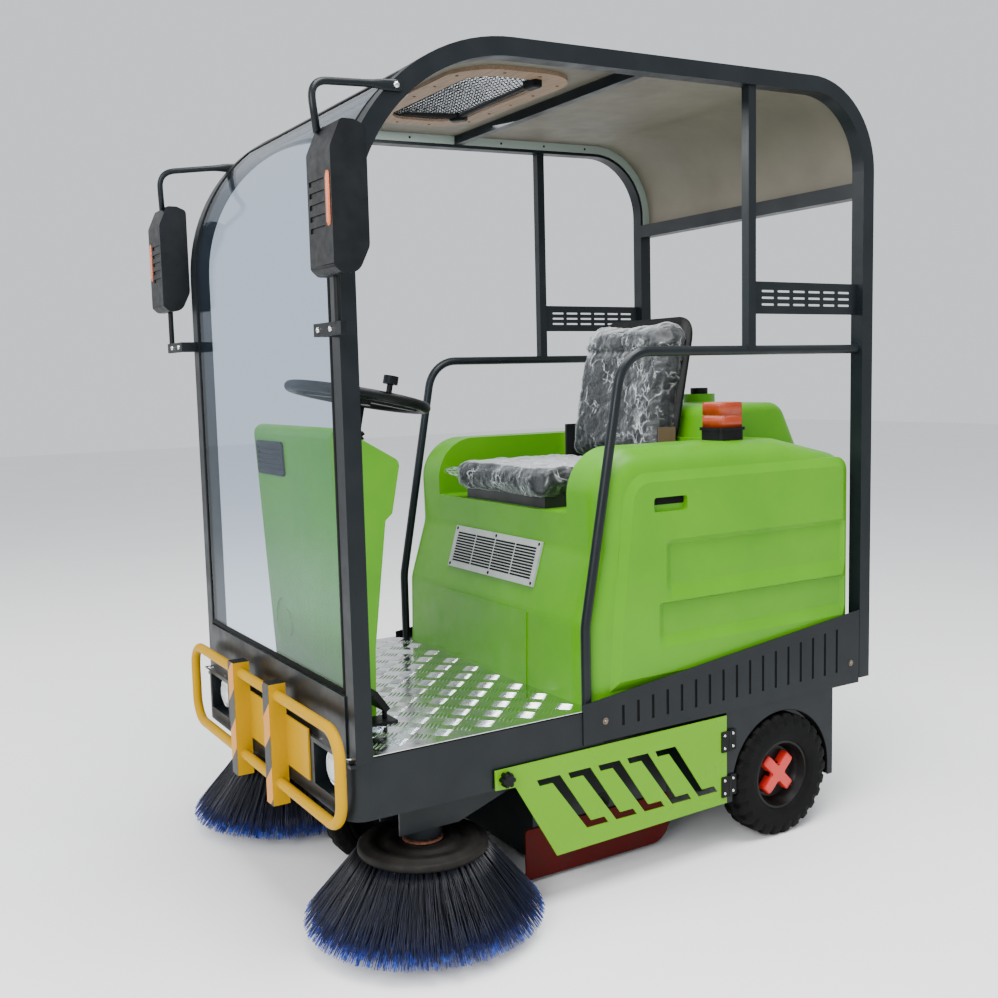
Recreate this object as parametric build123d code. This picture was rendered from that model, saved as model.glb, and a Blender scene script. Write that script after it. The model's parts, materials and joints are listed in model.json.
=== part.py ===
"""Compact three-wheeled road sweeper: open cab, two side brushes, roller broom and dust hopper.

Millimetres. Origin on the floor under the middle of the machine, +Z up, front towards -Y, its left +X.
Pieces of a pair are made for the left side and mirrored for the right.
"""

import os
from math import atan, atan2, cos, degrees, hypot, radians, sin, tan

from build123d import *

# ---------------------------------------------------------------- driving sizes
# Cab frame: one bent square tube a side
CAB_HALF = 495.0
TUBE = 40.0
HOOP_FRONT_Y = -746.0
HOOP_REAR_Y = 832.0
HOOP_FRONT_FOOT = 441.0
HOOP_REAR_FOOT = 383.0
ROOF_FRONT_Z = 1963.2  # roof line carried on to the front face of the posts
ROOF_REAR_Z = 2005.0  # and to the rear face
FRONT_BEND = 445.0
REAR_BEND = 226.0
BAR = 25.0
FRONT_BAR_ANGLE = 54.3
ROOF_BEAM_Y = 85.0
REAR_BAR_TOP = 1746.0

# Roof sheet, windscreen and hatch
SHEET_INSET = 3.0
SHEET_T = 4.0
FLANGE_H = 24.0
FLANGE_T = 3.0
GLASS_INSET = 1.0
GLASS_T = 4.0
HATCH_Y = -155.0
HATCH_RING = (310.0, 170.0, 120.0)  # half x, half y, corner radius
HATCH_HOLE = (248.0, 112.0, 75.0)
HATCH_RING_T = 9.0
SCREEN_T = 2.0
SCREEN_BARS = 12
SCREEN_GAP = 12.0
COVER = (268.0, 124.0, 84.0)
COVER_GAP = 6.0
COVER_T = 12.0
COVER_WALL = 3.0
HATCH_PIN_R = 3.0
HATCH_PIN_Y = -137.0  # from the hatch centre
HATCH_PIN_Z = 8.5
HATCH_LUG_X = 150.0
LUG_W = 10.0
LUG_GAP = 1.0

# Side frame: bent round rail, mid bar and perforated plate
SIDE_X = CAB_HALF - TUBE / 2
RAIL_R = 12.0
RAIL_TOP_Z = 1300.0
RAIL_KNEE_Y = -14.0
RAIL_FOOT_Y = -135.0
RAIL_KINK_Z = 650.0
RAIL_BENDS = (95.0, 150.0)
MID_BAR_Y = 393.0
PLATE_Z = (1392.0, 1474.0)
PLATE_T = 3.0
PLATE_SLOT = (45.0, 5.5)
PLATE_PITCH = (56.0, 17.0)
PLATE_ROWS = 3

# Chassis
FLOOR_Z = 455.0
FLOOR_T = 4.0
BAND_HALF = CAB_HALF - 1.0  # posts stand proud of the band
BAND_FRONT_Y = -762.0
BAND_BOTTOM = 315.0
BAND_T = 6.0
BAND_CORNER = 45.0
FLOOR_REAR_Y = -100.0
RAIL_X = (BAND_HALF - 48.0, BAND_HALF - 4.0)
RAIL_BOTTOM = 372.0
RAIL_WALL = 5.0
RAIL_FRONT_Y = -160.0
RAIL_END_Y = 786.0
END_PLATE_T = 6.0
CROSS_Y = ((-100.0, -60.0), (160.0, 200.0), (460.0, 520.0), (746.0, 786.0))  # front, rear
CARRIER_Y = (-600.0, -260.0)
CARRIER_T = 11.0
LAMP_X = BAND_HALF - 124.0
LAMP_HALF = (70.0, 47.5)
LAMP_Z = 397.5
LAMP_DEPTH = 50.0
LAMP_WALL = 3.0
LAMP_R = 40.0
FASCIA_Y = -750.0
FASCIA_T = 4.0
FASCIA_TOP = 582.0
SILL_W = 12.0

# Skirt, arch panel and side door
SKIRT_X = (BAND_HALF, BAND_HALF + 3.0)
SKIRT_Y = (-161.0, 788.0)
SKIRT_BOTTOM = 372.0
SKIRT_TOP = (470.0, 578.0)  # front, rear
SLOTS = 17
SLOT_W = 8.0
SLOT_FIRST_Y = -42.0
SLOT_LAST_Y = 698.8
SLOT_BOTTOM = (401.0, 412.0)  # first, last
SLOT_TOP = (451.0, 534.0)
ARCH_Y = (294.0, 687.0)
ARCH_Z = (129.0, 440.0)
ARCH_GAP = 11.0
DOOR_GAP = 5.0
DOOR_T = 3.0
DOOR_OUTLINE = ((-411.0, 317.0), (-357.0, 314.0), (-246.0, 124.0), (288.0, 134.0), (288.0, 366.0), (-411.0, 363.0))
DOOR_CUTS = 5
DOOR_CUT_PITCH = 87.65
DOOR_CUT_AT = (-299.0, 171.0)
DOOR_CUT = (
    (0.0, 147.0), (65.0, 147.0), (152.0, 17.0), (192.0, 17.0),
    (204.0, 0.0), (141.0, 0.0), (44.0, 131.0), (8.0, 131.0),
)
KNOB_AT = (-384.0, 340.0)
KNOB_R = 17.0
KNOB_H = 18.0
KNOB_LOBES = 6
KNOB_LOBE_R = 5.0
HINGE_Y = 296.0
HINGE_Z = (298.0, 178.0)
HINGE_H = 54.0
HINGE_R = 4.5
HINGE_PIN_R = 2.0
HINGE_LEAF = 26.0
HINGE_LEAF_T = 2.5
HINGE_END_GAP = 0.5

# Wheels
RUN_FIT = 0.05  # radial clearance of a running fit
REAR_Y = 491.0
REAR_R = 166.0
REAR_X = (CAB_HALF - 77.0, CAB_HALF + 10.0)
REAR_RIM_R = 92.0
STUB_R = 12.45
BRACKET_X = (REAR_X[0] - 22.0, REAR_X[0] - 10.0)
LUGS = 24
LUG_GAP_W = 11.0
LUG_DEPTH = 8.0
LUG_WRAP = 30.0  # how far a gap runs down the side wall
LUG_RIB = 6.0  # half of the unbroken rib along the middle
BRACKET_FOOT_T = 8.0
CROSS_ARM = 61.0
FRONT_Y = -485.0
FRONT_R = 130.0
FRONT_HALF = 35.0
FRONT_RIM_R = 84.0
FORK_X = (52.0, 60.0)
FORK_TOP = (275.0, 285.0)
FORK_HALF = 45.0
FORK_PIN_R = 10.0
KING_R = 15.0
BOSS_R = 32.0
BOSS_GAP = 2.0

# Side brushes on their arms
BRUSH_X = BAND_HALF - 84.0
BRUSH_Y = -552.0
BRUSH_R = 280.0
TIP_Z = 35.0
DISC_R = 149.0
DISC_Z = (190.0, 215.0)
SHAFT_R = 12.0
MOTOR_R = 45.0
MOTOR_Z = (222.0, 300.0)
PIVOT_Y = -300.0
PIVOT_Z = 335.0
PIVOT_R = 8.0
ARM_X = (BRUSH_X - 58.0, BRUSH_X + 48.0)
ARM_T = 6.0
ARM_TOP = 308.0
ARM_BRACKET = (ARM_X[0] - 14.0, ARM_X[1] + 14.0)
ARM_NOSE = 80.0
ARM_TAIL = 58.0
ARM_SIDE_H = 60.0

# Roller broom in its housing, and the dust hopper behind it
ROLLER_Y = -15.0
ROLLER_Z = 160.0
ROLLER_R = 150.0
ROLLER_HALF = 355.0
ROLLER_CORE_R = 40.0
ROLLER_STUB_R = 12.0
HOUSING_X = (362.0, 366.0)
HOUSING_Y = (-225.0, 200.0)
HOUSING_Z = 40.0
HOOD_Y = -205.0
HOOD_Z = 345.0
HOOD_R = 120.0
HOOD_T = 4.0
FLAP_T = 5.0
FLAP_Y = (-250.0, 205.0)
FLAP_Z = (12.0, 140.0)
HOPPER_HALF = BRACKET_X[0] - 46.0
HOPPER_Y = (215.0, 780.0)
HOPPER_Z = (110.0, 360.0)
HOPPER_WALL = 5.0
HOPPER_LIP = 12.0
RUNNER_T = 6.0
HOPPER_GRIP = (72.0, 12.0, 230.0, 30.0)  # half width, bar, height, reach
SLIDE_GAP = 0.5

# Console and steering
CONSOLE_SIDE = (  # y, z, radius
    (-640.0, 455.0, 0.0), (-675.0, 1160.0, 25.0), (-497.0, 1057.0, 20.0), (-520.0, 935.0, 12.0),
    (-538.0, 920.0, 12.0), (-572.0, 617.0, 60.0), (-575.0, 455.0, 0.0),
)
CONSOLE_HALF = (235.0, 250.0)  # at the floor, at the top
CONSOLE_EDGE = 30.0
CONSOLE_WALL = 6.0
CONSOLE_RING = (66.0, 36.0, 3.0)  # outer and inner radius and depth of the round groove in its front
CONSOLE_RING_AT = (-140.0, 626.0)
VENT_X = (-226.0, -45.0)
VENT_Z = (1014.0, 1100.0)
VENT_T = 6.0
VENT_BLADES = 5
STEER_AT = (0.0, -485.0, 1205.0)
STEER_TILT = 12.0
STEER_R = 172.0
STEER_GRIP_R = 13.0
COLUMN_R = 20.0
COLUMN_SHAFT_R = 10.0
COLUMN_FOOT = 175.0
BELLOWS_R = 46.0

# Rear body
BODY_HALF = RAIL_X[1] - 15.0
BODY_WALL = 8.0
BODY_EDGE = 60.0
BODY_SIDE = (  # y, z, radius
    (-137.0, 455.0, 0.0), (-132.0, 650.0, 80.0), (-80.0, 820.0, 80.0), (-84.0, 1068.0, 120.0),
    (520.0, 1068.0, 100.0), (786.0, 1006.0, 70.0), (786.0, 455.0, 0.0),
)
PANEL_RISE = 10.0
PANEL_BEVEL = 24.0
PANEL_DEEP = 15.0
PANEL_LINE = (  # y, z, radius of the raised side panel
    (-66.0, 480.0, 0.0), (-46.0, 707.0, 400.0), (-8.0, 1008.0, 75.0), (757.0, 1008.0, 40.0), (757.0, 480.0, 0.0),
)
GROOVE_DEPTH = 13.0
GROOVE_REAR_Y = 735.0
GROOVE_RUN_OUT = 24.0
GROOVES = (  # front y, then z of the upper edge, its foot, the start of the slope out and its end
    (130.0, 838.0, 824.0, 725.0, 687.0), (106.0, 683.0, 677.0, 600.0, 570.0),
)
POCKET = (70.0, 176.0, 909.0, 945.0)
POCKET_R = 8.0
APRON = (215.0, 645.0, 3.0)  # half width, top and thickness of the raised apron under the grille
WING_Z = 1068.0
WELL_HALF = 330.0
WELL_REAR_Y = 392.0
WELL_R = 40.0
DECK_Z = 905.0
HUMP_HALF = 300.0
HUMP = ((412.0, 1060.0, 0.0), (428.0, 1158.0, 40.0), (690.0, 1158.0, 60.0), (772.0, 1000.0, 0.0))
HUMP_EDGE = 25.0
NECK_AT = (0.0, 645.0)
NECK_R = 47.0
NECK_Z = 1182.0
CAP_R = 26.0
CAP_H = 18.0
GRILLE = (222.0, 59.5)
GRILLE_Z = 765.0
GRILLE_T = 10.0
GRILLE_SINK = 4.0
GRILLE_COLS = 4
GRILLE_ROWS = 11
GRILLE_RIM = 16.0
GRILLE_BAR = 3.0
BATTERY = (230.0, 60.0, 440.0, 680.0)  # half width, front y, rear y, top z

# Seat
SEAT_BASE = (200.0, -60.0, 302.0, 937.0)  # half width, front y, rear y, top z
CUSHION = (235.0, -115.0, 300.0, 1008.0)
CUSHION_R = 28.0
CUSHION_CORNERS = (50.0, 30.0)  # front, rear
BACK_HALF = 215.0
BACK_FOOT = (300.0, 985.0)
BACK_TOP = (387.0, 1410.0)
BACK_T = 60.0
BACK_CORNERS = (80.0, 45.0)  # top, bottom
BACK_BRACKET = (6.0, 302.0, 362.0, 1100.0)  # thickness, front y, rear y, top z

# Beacon, guard, mirrors, pedal
BEACON_AT = (380.0, 388.0)
BEACON_BASE = (46.0, 34.0)
BEACON_LENS = (41.0, 66.0, 14.0)
BEACON_NECK = (42.0, 26.0)  # half width and height of the base under its flange
BEACON_GROOVE = (30.0, 33.0, 2.0)  # from, to, depth
GUARD_Y = -786.0
GUARD_R = 12.5
GUARD_Z = (310.0, 520.0)
GUARD_HALF = 502.0
GUARD_BEND = 62.0
POST_X = (106.0, 146.0)
POST_DEPTH = 42.0
POST_Z = (256.0, 548.0)
STRAP_X = (112.0, 140.0)
STRAP_Z = (360.0, 450.0)
BACK_PLATE = (277.0, 4.0, 350.0, 470.0)  # half width, thickness, bottom, top
MIRROR_X = (525.0, 640.0)
MIRROR_CASE = (  # y, z, radius of the case seen from its side
    (-815.0, 1462.0, 12.0), (-800.0, 1449.0, 12.0), (-765.0, 1449.0, 30.0), (-740.0, 1500.0, 30.0),
    (-740.0, 1722.0, 12.0), (-765.0, 1732.0, 12.0), (-792.0, 1732.0, 10.0), (-815.0, 1680.0, 20.0),
)
MIRROR_RIBS = 5
MIRROR_RIB_Z = 1530.0
MIRROR_RIB_PITCH = 22.0
MIRROR_RIB = (10.0, 3.0)  # height, depth
MIRROR_RIB_X = (534.0, 606.0)
MIRROR_ARM_R = 7.0
MIRROR_ARM_AT = (-600.0, 1832.0)
MIRROR_ARM_X = 545.0
MIRROR_ARM_Y = -783.0
MIRROR_ARM_TOP = 1825.0
MIRROR_ROD_X = 576.0
CLAMP_X = (465.0, 600.0)
CLAMP_Z = (1336.0, 1362.0)
PEDAL_AT = (280.0, -600.0)
PEDAL_PAD = (40.0, 14.0, 55.0)

# ---------------------------------------------------------------- shared values
IN_HALF = CAB_HALF - TUBE
ROOF_SLOPE = (ROOF_REAR_Z - ROOF_FRONT_Z) / (HOOP_REAR_Y - HOOP_FRONT_Y)
FLOOR_UNDER = FLOOR_Z - FLOOR_T
DOOR_X = (BAND_HALF + DOOR_GAP, BAND_HALF + DOOR_GAP + DOOR_T)
HINGE_X = DOOR_X[0] + 1.0
FAR = 3000.0


# ---------------------------------------------------------------- shapes
def bend(at, before, after, radius):
    """Start, middle and end of the arc of a radius that rounds the corner at a point."""
    u = (before - at).normalized()
    v = (after - at).normalized()
    half = radians(u.get_angle(v)) / 2
    centre = at + (u + v).normalized() * (radius / sin(half))
    reach = radius / tan(half)
    return at + u * reach, centre + (at - centre).normalized() * radius, at + v * reach


def rounded_wire(corners, closed=True):
    """Wire of lines and tangent arcs through (position, radius) corners."""
    edges = []
    arcs = []
    count = len(corners)
    for i, (at, radius) in enumerate(corners):
        if radius > 0 and (closed or 0 < i < count - 1):
            arcs.append(bend(at, corners[i - 1][0], corners[(i + 1) % count][0], radius))
        else:
            arcs.append((at, None, at))
    for i in range(count if closed else count - 1):
        leave = arcs[i][2]
        arrive, middle, onward = arcs[(i + 1) % count]
        if (arrive - leave).length > 1e-4:
            edges.append(Edge.make_line(leave, arrive))
        if middle is not None:
            edges.append(Edge.make_three_point_arc(arrive, middle, onward))
    return Wire(edges)


def flat(points):
    """Face in the XY plane from (u, v) or (u, v, radius) points."""
    return Face(rounded_wire([(Vector(p[0], p[1], 0), p[2] if len(p) > 2 else 0.0) for p in points]))


def prism_x(points, x0, x1):
    """Solid between two x from a (y, z) outline."""
    plane = Plane(origin=(x0, 0, 0), x_dir=(0, 1, 0), z_dir=(1, 0, 0))
    return extrude(plane * flat(points), amount=x1 - x0, dir=(1, 0, 0))


def prism_y(points, y0, y1):
    """Solid between two y from an (x, z) outline."""
    plane = Plane(origin=(0, y0, 0), x_dir=(1, 0, 0), z_dir=(0, -1, 0))
    return extrude(plane * flat(points), amount=y1 - y0, dir=(0, 1, 0))


def prism_z(points, z0, z1):
    """Solid between two z from an (x, y) outline."""
    return extrude(Pos(0, 0, z0) * flat(points), amount=z1 - z0, dir=(0, 0, 1))


def box(x0, x1, y0, y1, z0, z1):
    """Box between two x, two y and two z."""
    return Pos((x0 + x1) / 2, (y0 + y1) / 2, (z0 + z1) / 2) * Box(x1 - x0, y1 - y0, z1 - z0)


def oblong(half_x, half_y, radius, z0, z1):
    """Rounded rectangle about the z axis between two z."""
    points = ((-half_x, -half_y), (half_x, -half_y), (half_x, half_y), (-half_x, half_y))
    return prism_z([(x, y, radius) for x, y in points], z0, z1)


def rod(start, end, radius):
    """Round bar between two points."""
    run = Vector(*end) - Vector(*start)
    return extrude(Plane(origin=start, z_dir=run.normalized()) * Circle(radius), amount=run.length)


def bent_tube(points, radius):
    """Round bar along (x, y, z, bend radius) points."""
    path = rounded_wire([(Vector(*p[:3]), p[3]) for p in points], closed=False)
    start = Plane(origin=points[0][:3], z_dir=(path % 0))
    return sweep(start * Circle(radius), path=path)


def turned(points, at, axis):
    """Solid of revolution of (radius, height) points about an axis through a point."""
    return Plane(origin=at, z_dir=axis) * revolve(Plane.XZ * flat(points), axis=Axis.Z)


def right(shape):
    """The same piece on the right-hand side."""
    return mirror(shape, about=Plane.YZ)


def both(shape):
    """The piece and its mirror image, as one shape."""
    return shape + right(shape)


def inset_outline(points, inset):
    """An outline in (u, v, radius), anticlockwise or clockwise, moved inwards by an inset."""
    count = len(points)
    area = sum(points[i - 1][0] * points[i][1] - points[i][0] * points[i - 1][1] for i in range(count))
    way = 1.0 if area > 0 else -1.0
    moved = []
    for i, (u, v, radius) in enumerate(points):
        au, av = u - points[i - 1][0], v - points[i - 1][1]
        bu, bv = points[(i + 1) % count][0] - u, points[(i + 1) % count][1] - v
        la, lb = hypot(au, av), hypot(bu, bv)
        na, nb = (-way * av / la, way * au / la), (-way * bv / lb, way * bu / lb)
        share = inset / (1.0 + na[0] * nb[0] + na[1] * nb[1])
        turn = way * (au * bv - av * bu)
        moved.append((u + share * (na[0] + nb[0]), v + share * (na[1] + nb[1]),
                      max(radius - inset, 0.0) if turn > 0 else radius + inset if radius else 0.0))
    return moved


# ---------------------------------------------------------------- cab frame and roof
def roof_z(y, inset):
    """Height of the roof line, moved in by an inset, before it bends down."""
    return ROOF_FRONT_Z + ROOF_SLOPE * (y - HOOP_FRONT_Y) - inset * hypot(1.0, ROOF_SLOPE)


def hoop_line(inset):
    """Side line of the cab frame from the front foot over the roof to the rear foot, as (y, z, radius)."""
    front = HOOP_FRONT_Y + inset
    rear = HOOP_REAR_Y - inset
    return [
        (front, HOOP_FRONT_FOOT, 0.0), (front, roof_z(front, inset), FRONT_BEND - inset),
        (rear, roof_z(rear, inset), REAR_BEND - inset), (rear, HOOP_REAR_FOOT, 0.0),
    ]


def hoop_skin(inset, thick, x0, x1):
    """Layer of the cab frame's line between an inset and a deeper one."""
    return prism_x(hoop_line(inset) + hoop_line(inset + thick)[::-1], x0, x1)


BEND_CENTRE = (HOOP_FRONT_Y + FRONT_BEND, roof_z(HOOP_FRONT_Y + FRONT_BEND, FRONT_BEND))
BAR_REACH = FRONT_BEND - BAR / 2
BAR_AT = (
    BEND_CENTRE[0] - BAR_REACH * cos(radians(FRONT_BAR_ANGLE)),
    BEND_CENTRE[1] + BAR_REACH * sin(radians(FRONT_BAR_ANGLE)),
)
SHEET_UNDER = SHEET_INSET + SHEET_T

hoop = hoop_skin(0.0, TUBE, IN_HALF, CAB_HALF)
hoops = both(hoop)
front_roof_bar = Pos(0, *BAR_AT) * Rot(90 - FRONT_BAR_ANGLE, 0, 0) * Box(2 * IN_HALF, BAR, BAR)
front_roof_bar = front_roof_bar & hoop_skin(0.0, 2 * BAR, -IN_HALF, IN_HALF)
rear_roof_bar = box(-IN_HALF, IN_HALF, HOOP_REAR_Y - TUBE, HOOP_REAR_Y, REAR_BAR_TOP - TUBE, REAR_BAR_TOP)
ahead_of_bar = Pos(0, *BEND_CENTRE) * Rot(90 - FRONT_BAR_ANGLE, 0, 0) * box(-FAR, FAR, -FAR, 0, -FAR, FAR)
below_rear_bar = box(-FAR, FAR, 0, FAR, -FAR, REAR_BAR_TOP)
roof_beam = box(-IN_HALF, IN_HALF, ROOF_BEAM_Y - BAR / 2, ROOF_BEAM_Y + BAR / 2, 0, FAR)
roof_beam = roof_beam & hoop_skin(SHEET_UNDER, BAR, -IN_HALF, IN_HALF)

hatch_at = Pos(0, HATCH_Y, roof_z(HATCH_Y, SHEET_INSET)) * Rot(degrees(atan(ROOF_SLOPE)), 0, 0)


def hatch_lug(x):
    """Fixed lug of the hatch hinge, standing on the roof sheet with a round top about the pin."""
    at = (HATCH_PIN_Y, HATCH_PIN_Z)
    post = prism_x([(at[0] - 6, 0), (at[0] + 6, 0), (at[0] + 6, at[1]), (at[0] - 6, at[1])], x, x + LUG_W)
    return post + rod((x, *at), (x + LUG_W, *at), 6.0)


def roof_panel():
    """Roof sheet with a folded strip along each hoop, the hatch hole and the fixed half of the hinge."""
    sheet = hoop_skin(SHEET_INSET, SHEET_T, -IN_HALF, IN_HALF)
    strip = hoop_skin(SHEET_UNDER, FLANGE_H, IN_HALF - FLANGE_T, IN_HALF) - roof_beam
    sheet = sheet + both(strip) - ahead_of_bar - below_rear_bar - front_roof_bar
    sheet = sheet - hatch_at * oblong(*HATCH_HOLE, -2 * SHEET_T, SHEET_T)
    pin = rod((HATCH_LUG_X, HATCH_PIN_Y, HATCH_PIN_Z),
              (HATCH_LUG_X + 2 * LUG_W + LUG_GAP, HATCH_PIN_Y, HATCH_PIN_Z), HATCH_PIN_R)
    return sheet + hatch_at * both(hatch_lug(HATCH_LUG_X) + pin)


def hatch_cover():
    """Shallow lid over the hatch with two hinge eyes in front."""
    lid = oblong(*COVER, COVER_GAP, COVER_GAP + COVER_T)
    hollow = oblong(*(size - COVER_WALL for size in COVER), COVER_GAP - 1, COVER_GAP + COVER_T - COVER_WALL)
    x = HATCH_LUG_X + LUG_W + LUG_GAP
    at = (HATCH_PIN_Y, HATCH_PIN_Z)
    eye = rod((x, *at), (x + LUG_W, *at), 6.0)
    arm = box(x, x + LUG_W, HATCH_PIN_Y, -COVER[1] + COVER_WALL, HATCH_PIN_Z - 2.5, HATCH_PIN_Z + 5.5)
    bore = rod((x - 1, *at), (x + LUG_W + 1, *at), HATCH_PIN_R + RUN_FIT)
    return hatch_at * (lid - hollow + both(eye + arm) - both(bore))


def hatch_screen():
    """Flat screen of slats across the hatch hole, seated on the ring's edge."""
    plate = oblong(*(size + 6 for size in HATCH_HOLE), -SHEET_T - SCREEN_T, -SHEET_T)
    pitch = 2 * HATCH_HOLE[1] / SCREEN_BARS
    for row in range(SCREEN_BARS):
        y = -HATCH_HOLE[1] + (row + 0.5) * pitch
        half = HATCH_HOLE[0] - (20 if 1 < row < SCREEN_BARS - 2 else 45)
        plate = plate - box(-half, half, y - SCREEN_GAP / 2, y + SCREEN_GAP / 2, -FAR, FAR)
    return plate


def hatch_ring():
    """Wooden ring under the sheet, rebated for the screen."""
    ring = oblong(*HATCH_RING, -SHEET_T - HATCH_RING_T, -SHEET_T) - oblong(*HATCH_HOLE, -FAR, FAR)
    ring = ring - oblong(*(size + 6 for size in HATCH_HOLE), -SHEET_T - SCREEN_T, 0)
    return (hatch_at * ring) & hoop_skin(SHEET_UNDER, TUBE, -IN_HALF, IN_HALF)


def windscreen():
    """Clear sheet from the fascia up round the front bend to the front roof bar."""
    glass = hoop_skin(GLASS_INSET, GLASS_T, -IN_HALF, IN_HALF)
    glass = glass - box(-FAR, FAR, -FAR, FAR, 0, FASCIA_TOP) - box(-FAR, FAR, BAR_AT[0], FAR, 0, FAR)
    return biggest(glass - front_roof_bar)


def biggest(shape):
    """The largest solid of a shape."""
    return max(shape.solids(), key=lambda solid: solid.volume)


def side_frame():
    """Bent rail, the bar from it up to the hoop, and the perforated plate behind the bar."""
    rail = bent_tube(
        (
            (SIDE_X, HOOP_REAR_Y - TUBE, RAIL_TOP_Z, 0.0), (SIDE_X, RAIL_KNEE_Y, RAIL_TOP_Z, RAIL_BENDS[0]),
            (SIDE_X, RAIL_FOOT_Y, RAIL_KINK_Z, RAIL_BENDS[1]), (SIDE_X, RAIL_FOOT_Y, FLOOR_Z, 0.0),
        ),
        RAIL_R,
    )
    half = BAR / 2
    bar = box(SIDE_X - half, SIDE_X + half, MID_BAR_Y - half, MID_BAR_Y + half, RAIL_TOP_Z, roof_z(MID_BAR_Y, 0))
    bar = biggest(bar - hoop)
    start = MID_BAR_Y + half
    end = HOOP_REAR_Y - TUBE
    plate = box(SIDE_X - PLATE_T / 2, SIDE_X + PLATE_T / 2, start, end, *PLATE_Z)
    columns = int((end - start - 10) // PLATE_PITCH[0])
    slot = extrude(SlotOverall(*PLATE_SLOT), amount=PLATE_T, both=True)
    for row in range(PLATE_ROWS):
        z = (PLATE_Z[0] + PLATE_Z[1]) / 2 + (row - (PLATE_ROWS - 1) / 2) * PLATE_PITCH[1]
        for column in range(columns):
            y = (start + end) / 2 + (column - (columns - 1) / 2) * PLATE_PITCH[0]
            plate = plate - Pos(SIDE_X, y, z) * Rot(0, 90, 0) * Rot(0, 0, 90) * slot
    return rail + bar + plate


# ---------------------------------------------------------------- chassis
def band_plan(inset):
    """Plan of the front band, open to the rear, as (x, y, radius)."""
    half = BAND_HALF - inset
    front = BAND_FRONT_Y + inset
    radius = BAND_CORNER - inset
    return [(-half, front, radius), (half, front, radius), (half, FLOOR_REAR_Y, 0.0), (-half, FLOOR_REAR_Y, 0.0)]


def lamp_pocket(inset, front):
    """Box of a lamp pocket, taken in by an inset."""
    return box(LAMP_X - LAMP_HALF[0] + inset, LAMP_X + LAMP_HALF[0] - inset, front,
               BAND_FRONT_Y + BAND_T + LAMP_DEPTH - inset, LAMP_Z - LAMP_HALF[1] + inset,
               LAMP_Z + LAMP_HALF[1] - inset)


def side_steel():
    """Chassis steel of one side: rail, packer, post seat, lamp pocket, brush-arm pivot, hopper runner."""
    rail = box(*RAIL_X, RAIL_FRONT_Y, RAIL_END_Y, RAIL_BOTTOM, FLOOR_UNDER)
    rail = rail + box(*RAIL_X, FLOOR_REAR_Y, RAIL_END_Y, RAIL_BOTTOM, FLOOR_Z)
    rail = rail - box(RAIL_X[0] - 1, RAIL_X[1] - RAIL_WALL, RAIL_FRONT_Y - 1, RAIL_END_Y - END_PLATE_T,
                      RAIL_BOTTOM + RAIL_WALL, FLOOR_UNDER - RAIL_WALL)
    rail = rail + box(RAIL_X[1], SKIRT_X[0], RAIL_FRONT_Y, ARCH_Y[0] - DOOR_GAP, SKIRT_BOTTOM, ARCH_Z[1])
    rail = rail + box(RAIL_X[1], SKIRT_X[0], ARCH_Y[1] + DOOR_GAP, RAIL_END_Y, SKIRT_BOTTOM, ARCH_Z[1])
    seat = box(IN_HALF - 5, BAND_HALF - BAND_T, BAND_FRONT_Y + BAND_T, HOOP_FRONT_Y + TUBE + 10,
               HOOP_FRONT_FOOT - 8, HOOP_FRONT_FOOT)
    pocket = lamp_pocket(-LAMP_WALL, BAND_FRONT_Y + BAND_T) - lamp_pocket(0.0, BAND_FRONT_Y)
    pivot = rod((ARM_BRACKET[0], PIVOT_Y, PIVOT_Z), (ARM_BRACKET[1], PIVOT_Y, PIVOT_Z), PIVOT_R)
    reach = 3 * PIVOT_R
    for x in (ARM_BRACKET[0], ARM_BRACKET[1] - ARM_T):
        cheek = ((PIVOT_Y - reach, PIVOT_Z - reach, reach - 4), (PIVOT_Y + reach, PIVOT_Z - reach, reach - 4),
                 (PIVOT_Y + reach, FLOOR_UNDER - CARRIER_T), (PIVOT_Y - reach, FLOOR_UNDER - CARRIER_T))
        pivot = pivot + prism_x(cheek, x, x + ARM_T)
    lip_under = HOPPER_Z[1] - RUNNER_T - SLIDE_GAP
    edge = HOPPER_HALF + HOPPER_LIP + DOOR_GAP
    runner = box(edge, edge + RUNNER_T, HOPPER_Y[0] + 10, RAIL_END_Y, lip_under - RUNNER_T, RAIL_BOTTOM)
    runner = runner + box(HOPPER_HALF + DOOR_GAP, edge, HOPPER_Y[0] + 10, RAIL_END_Y,
                          lip_under - RUNNER_T, lip_under)
    return rail + seat + pocket + pivot + runner


def chassis_frame():
    """Front band, rails and cross members with all that is welded to them."""
    band = prism_z(band_plan(0.0), BAND_BOTTOM, FLOOR_UNDER) - prism_z(band_plan(BAND_T), 0, FAR)
    window = lamp_pocket(0.0, BAND_FRONT_Y - 1)
    frame = band - both(window)
    for front, rear in CROSS_Y:
        beam = box(-RAIL_X[0], RAIL_X[0], front, rear, RAIL_BOTTOM, FLOOR_UNDER if front < FLOOR_REAR_Y else FLOOR_Z)
        beam = beam - box(-FAR, FAR, front + RAIL_WALL, rear - RAIL_WALL, RAIL_BOTTOM - 1, FLOOR_UNDER - RAIL_WALL)
        frame = frame + beam
    carrier = box(-BAND_HALF + BAND_T, BAND_HALF - BAND_T, *CARRIER_Y, FLOOR_UNDER - CARRIER_T, FLOOR_UNDER)
    boss = rod((0, FRONT_Y, FORK_TOP[1] + BOSS_GAP), (0, FRONT_Y, FLOOR_UNDER), BOSS_R)
    end_plate = box(-RAIL_X[1], RAIL_X[1], RAIL_END_Y, RAIL_END_Y + END_PLATE_T, RAIL_BOTTOM, FLOOR_Z)
    frame = frame + carrier + boss + end_plate + both(side_steel())
    bore = rod((0, FRONT_Y, 0), (0, FRONT_Y, FLOOR_UNDER), KING_R + RUN_FIT)
    return frame - bore - hoops


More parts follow.
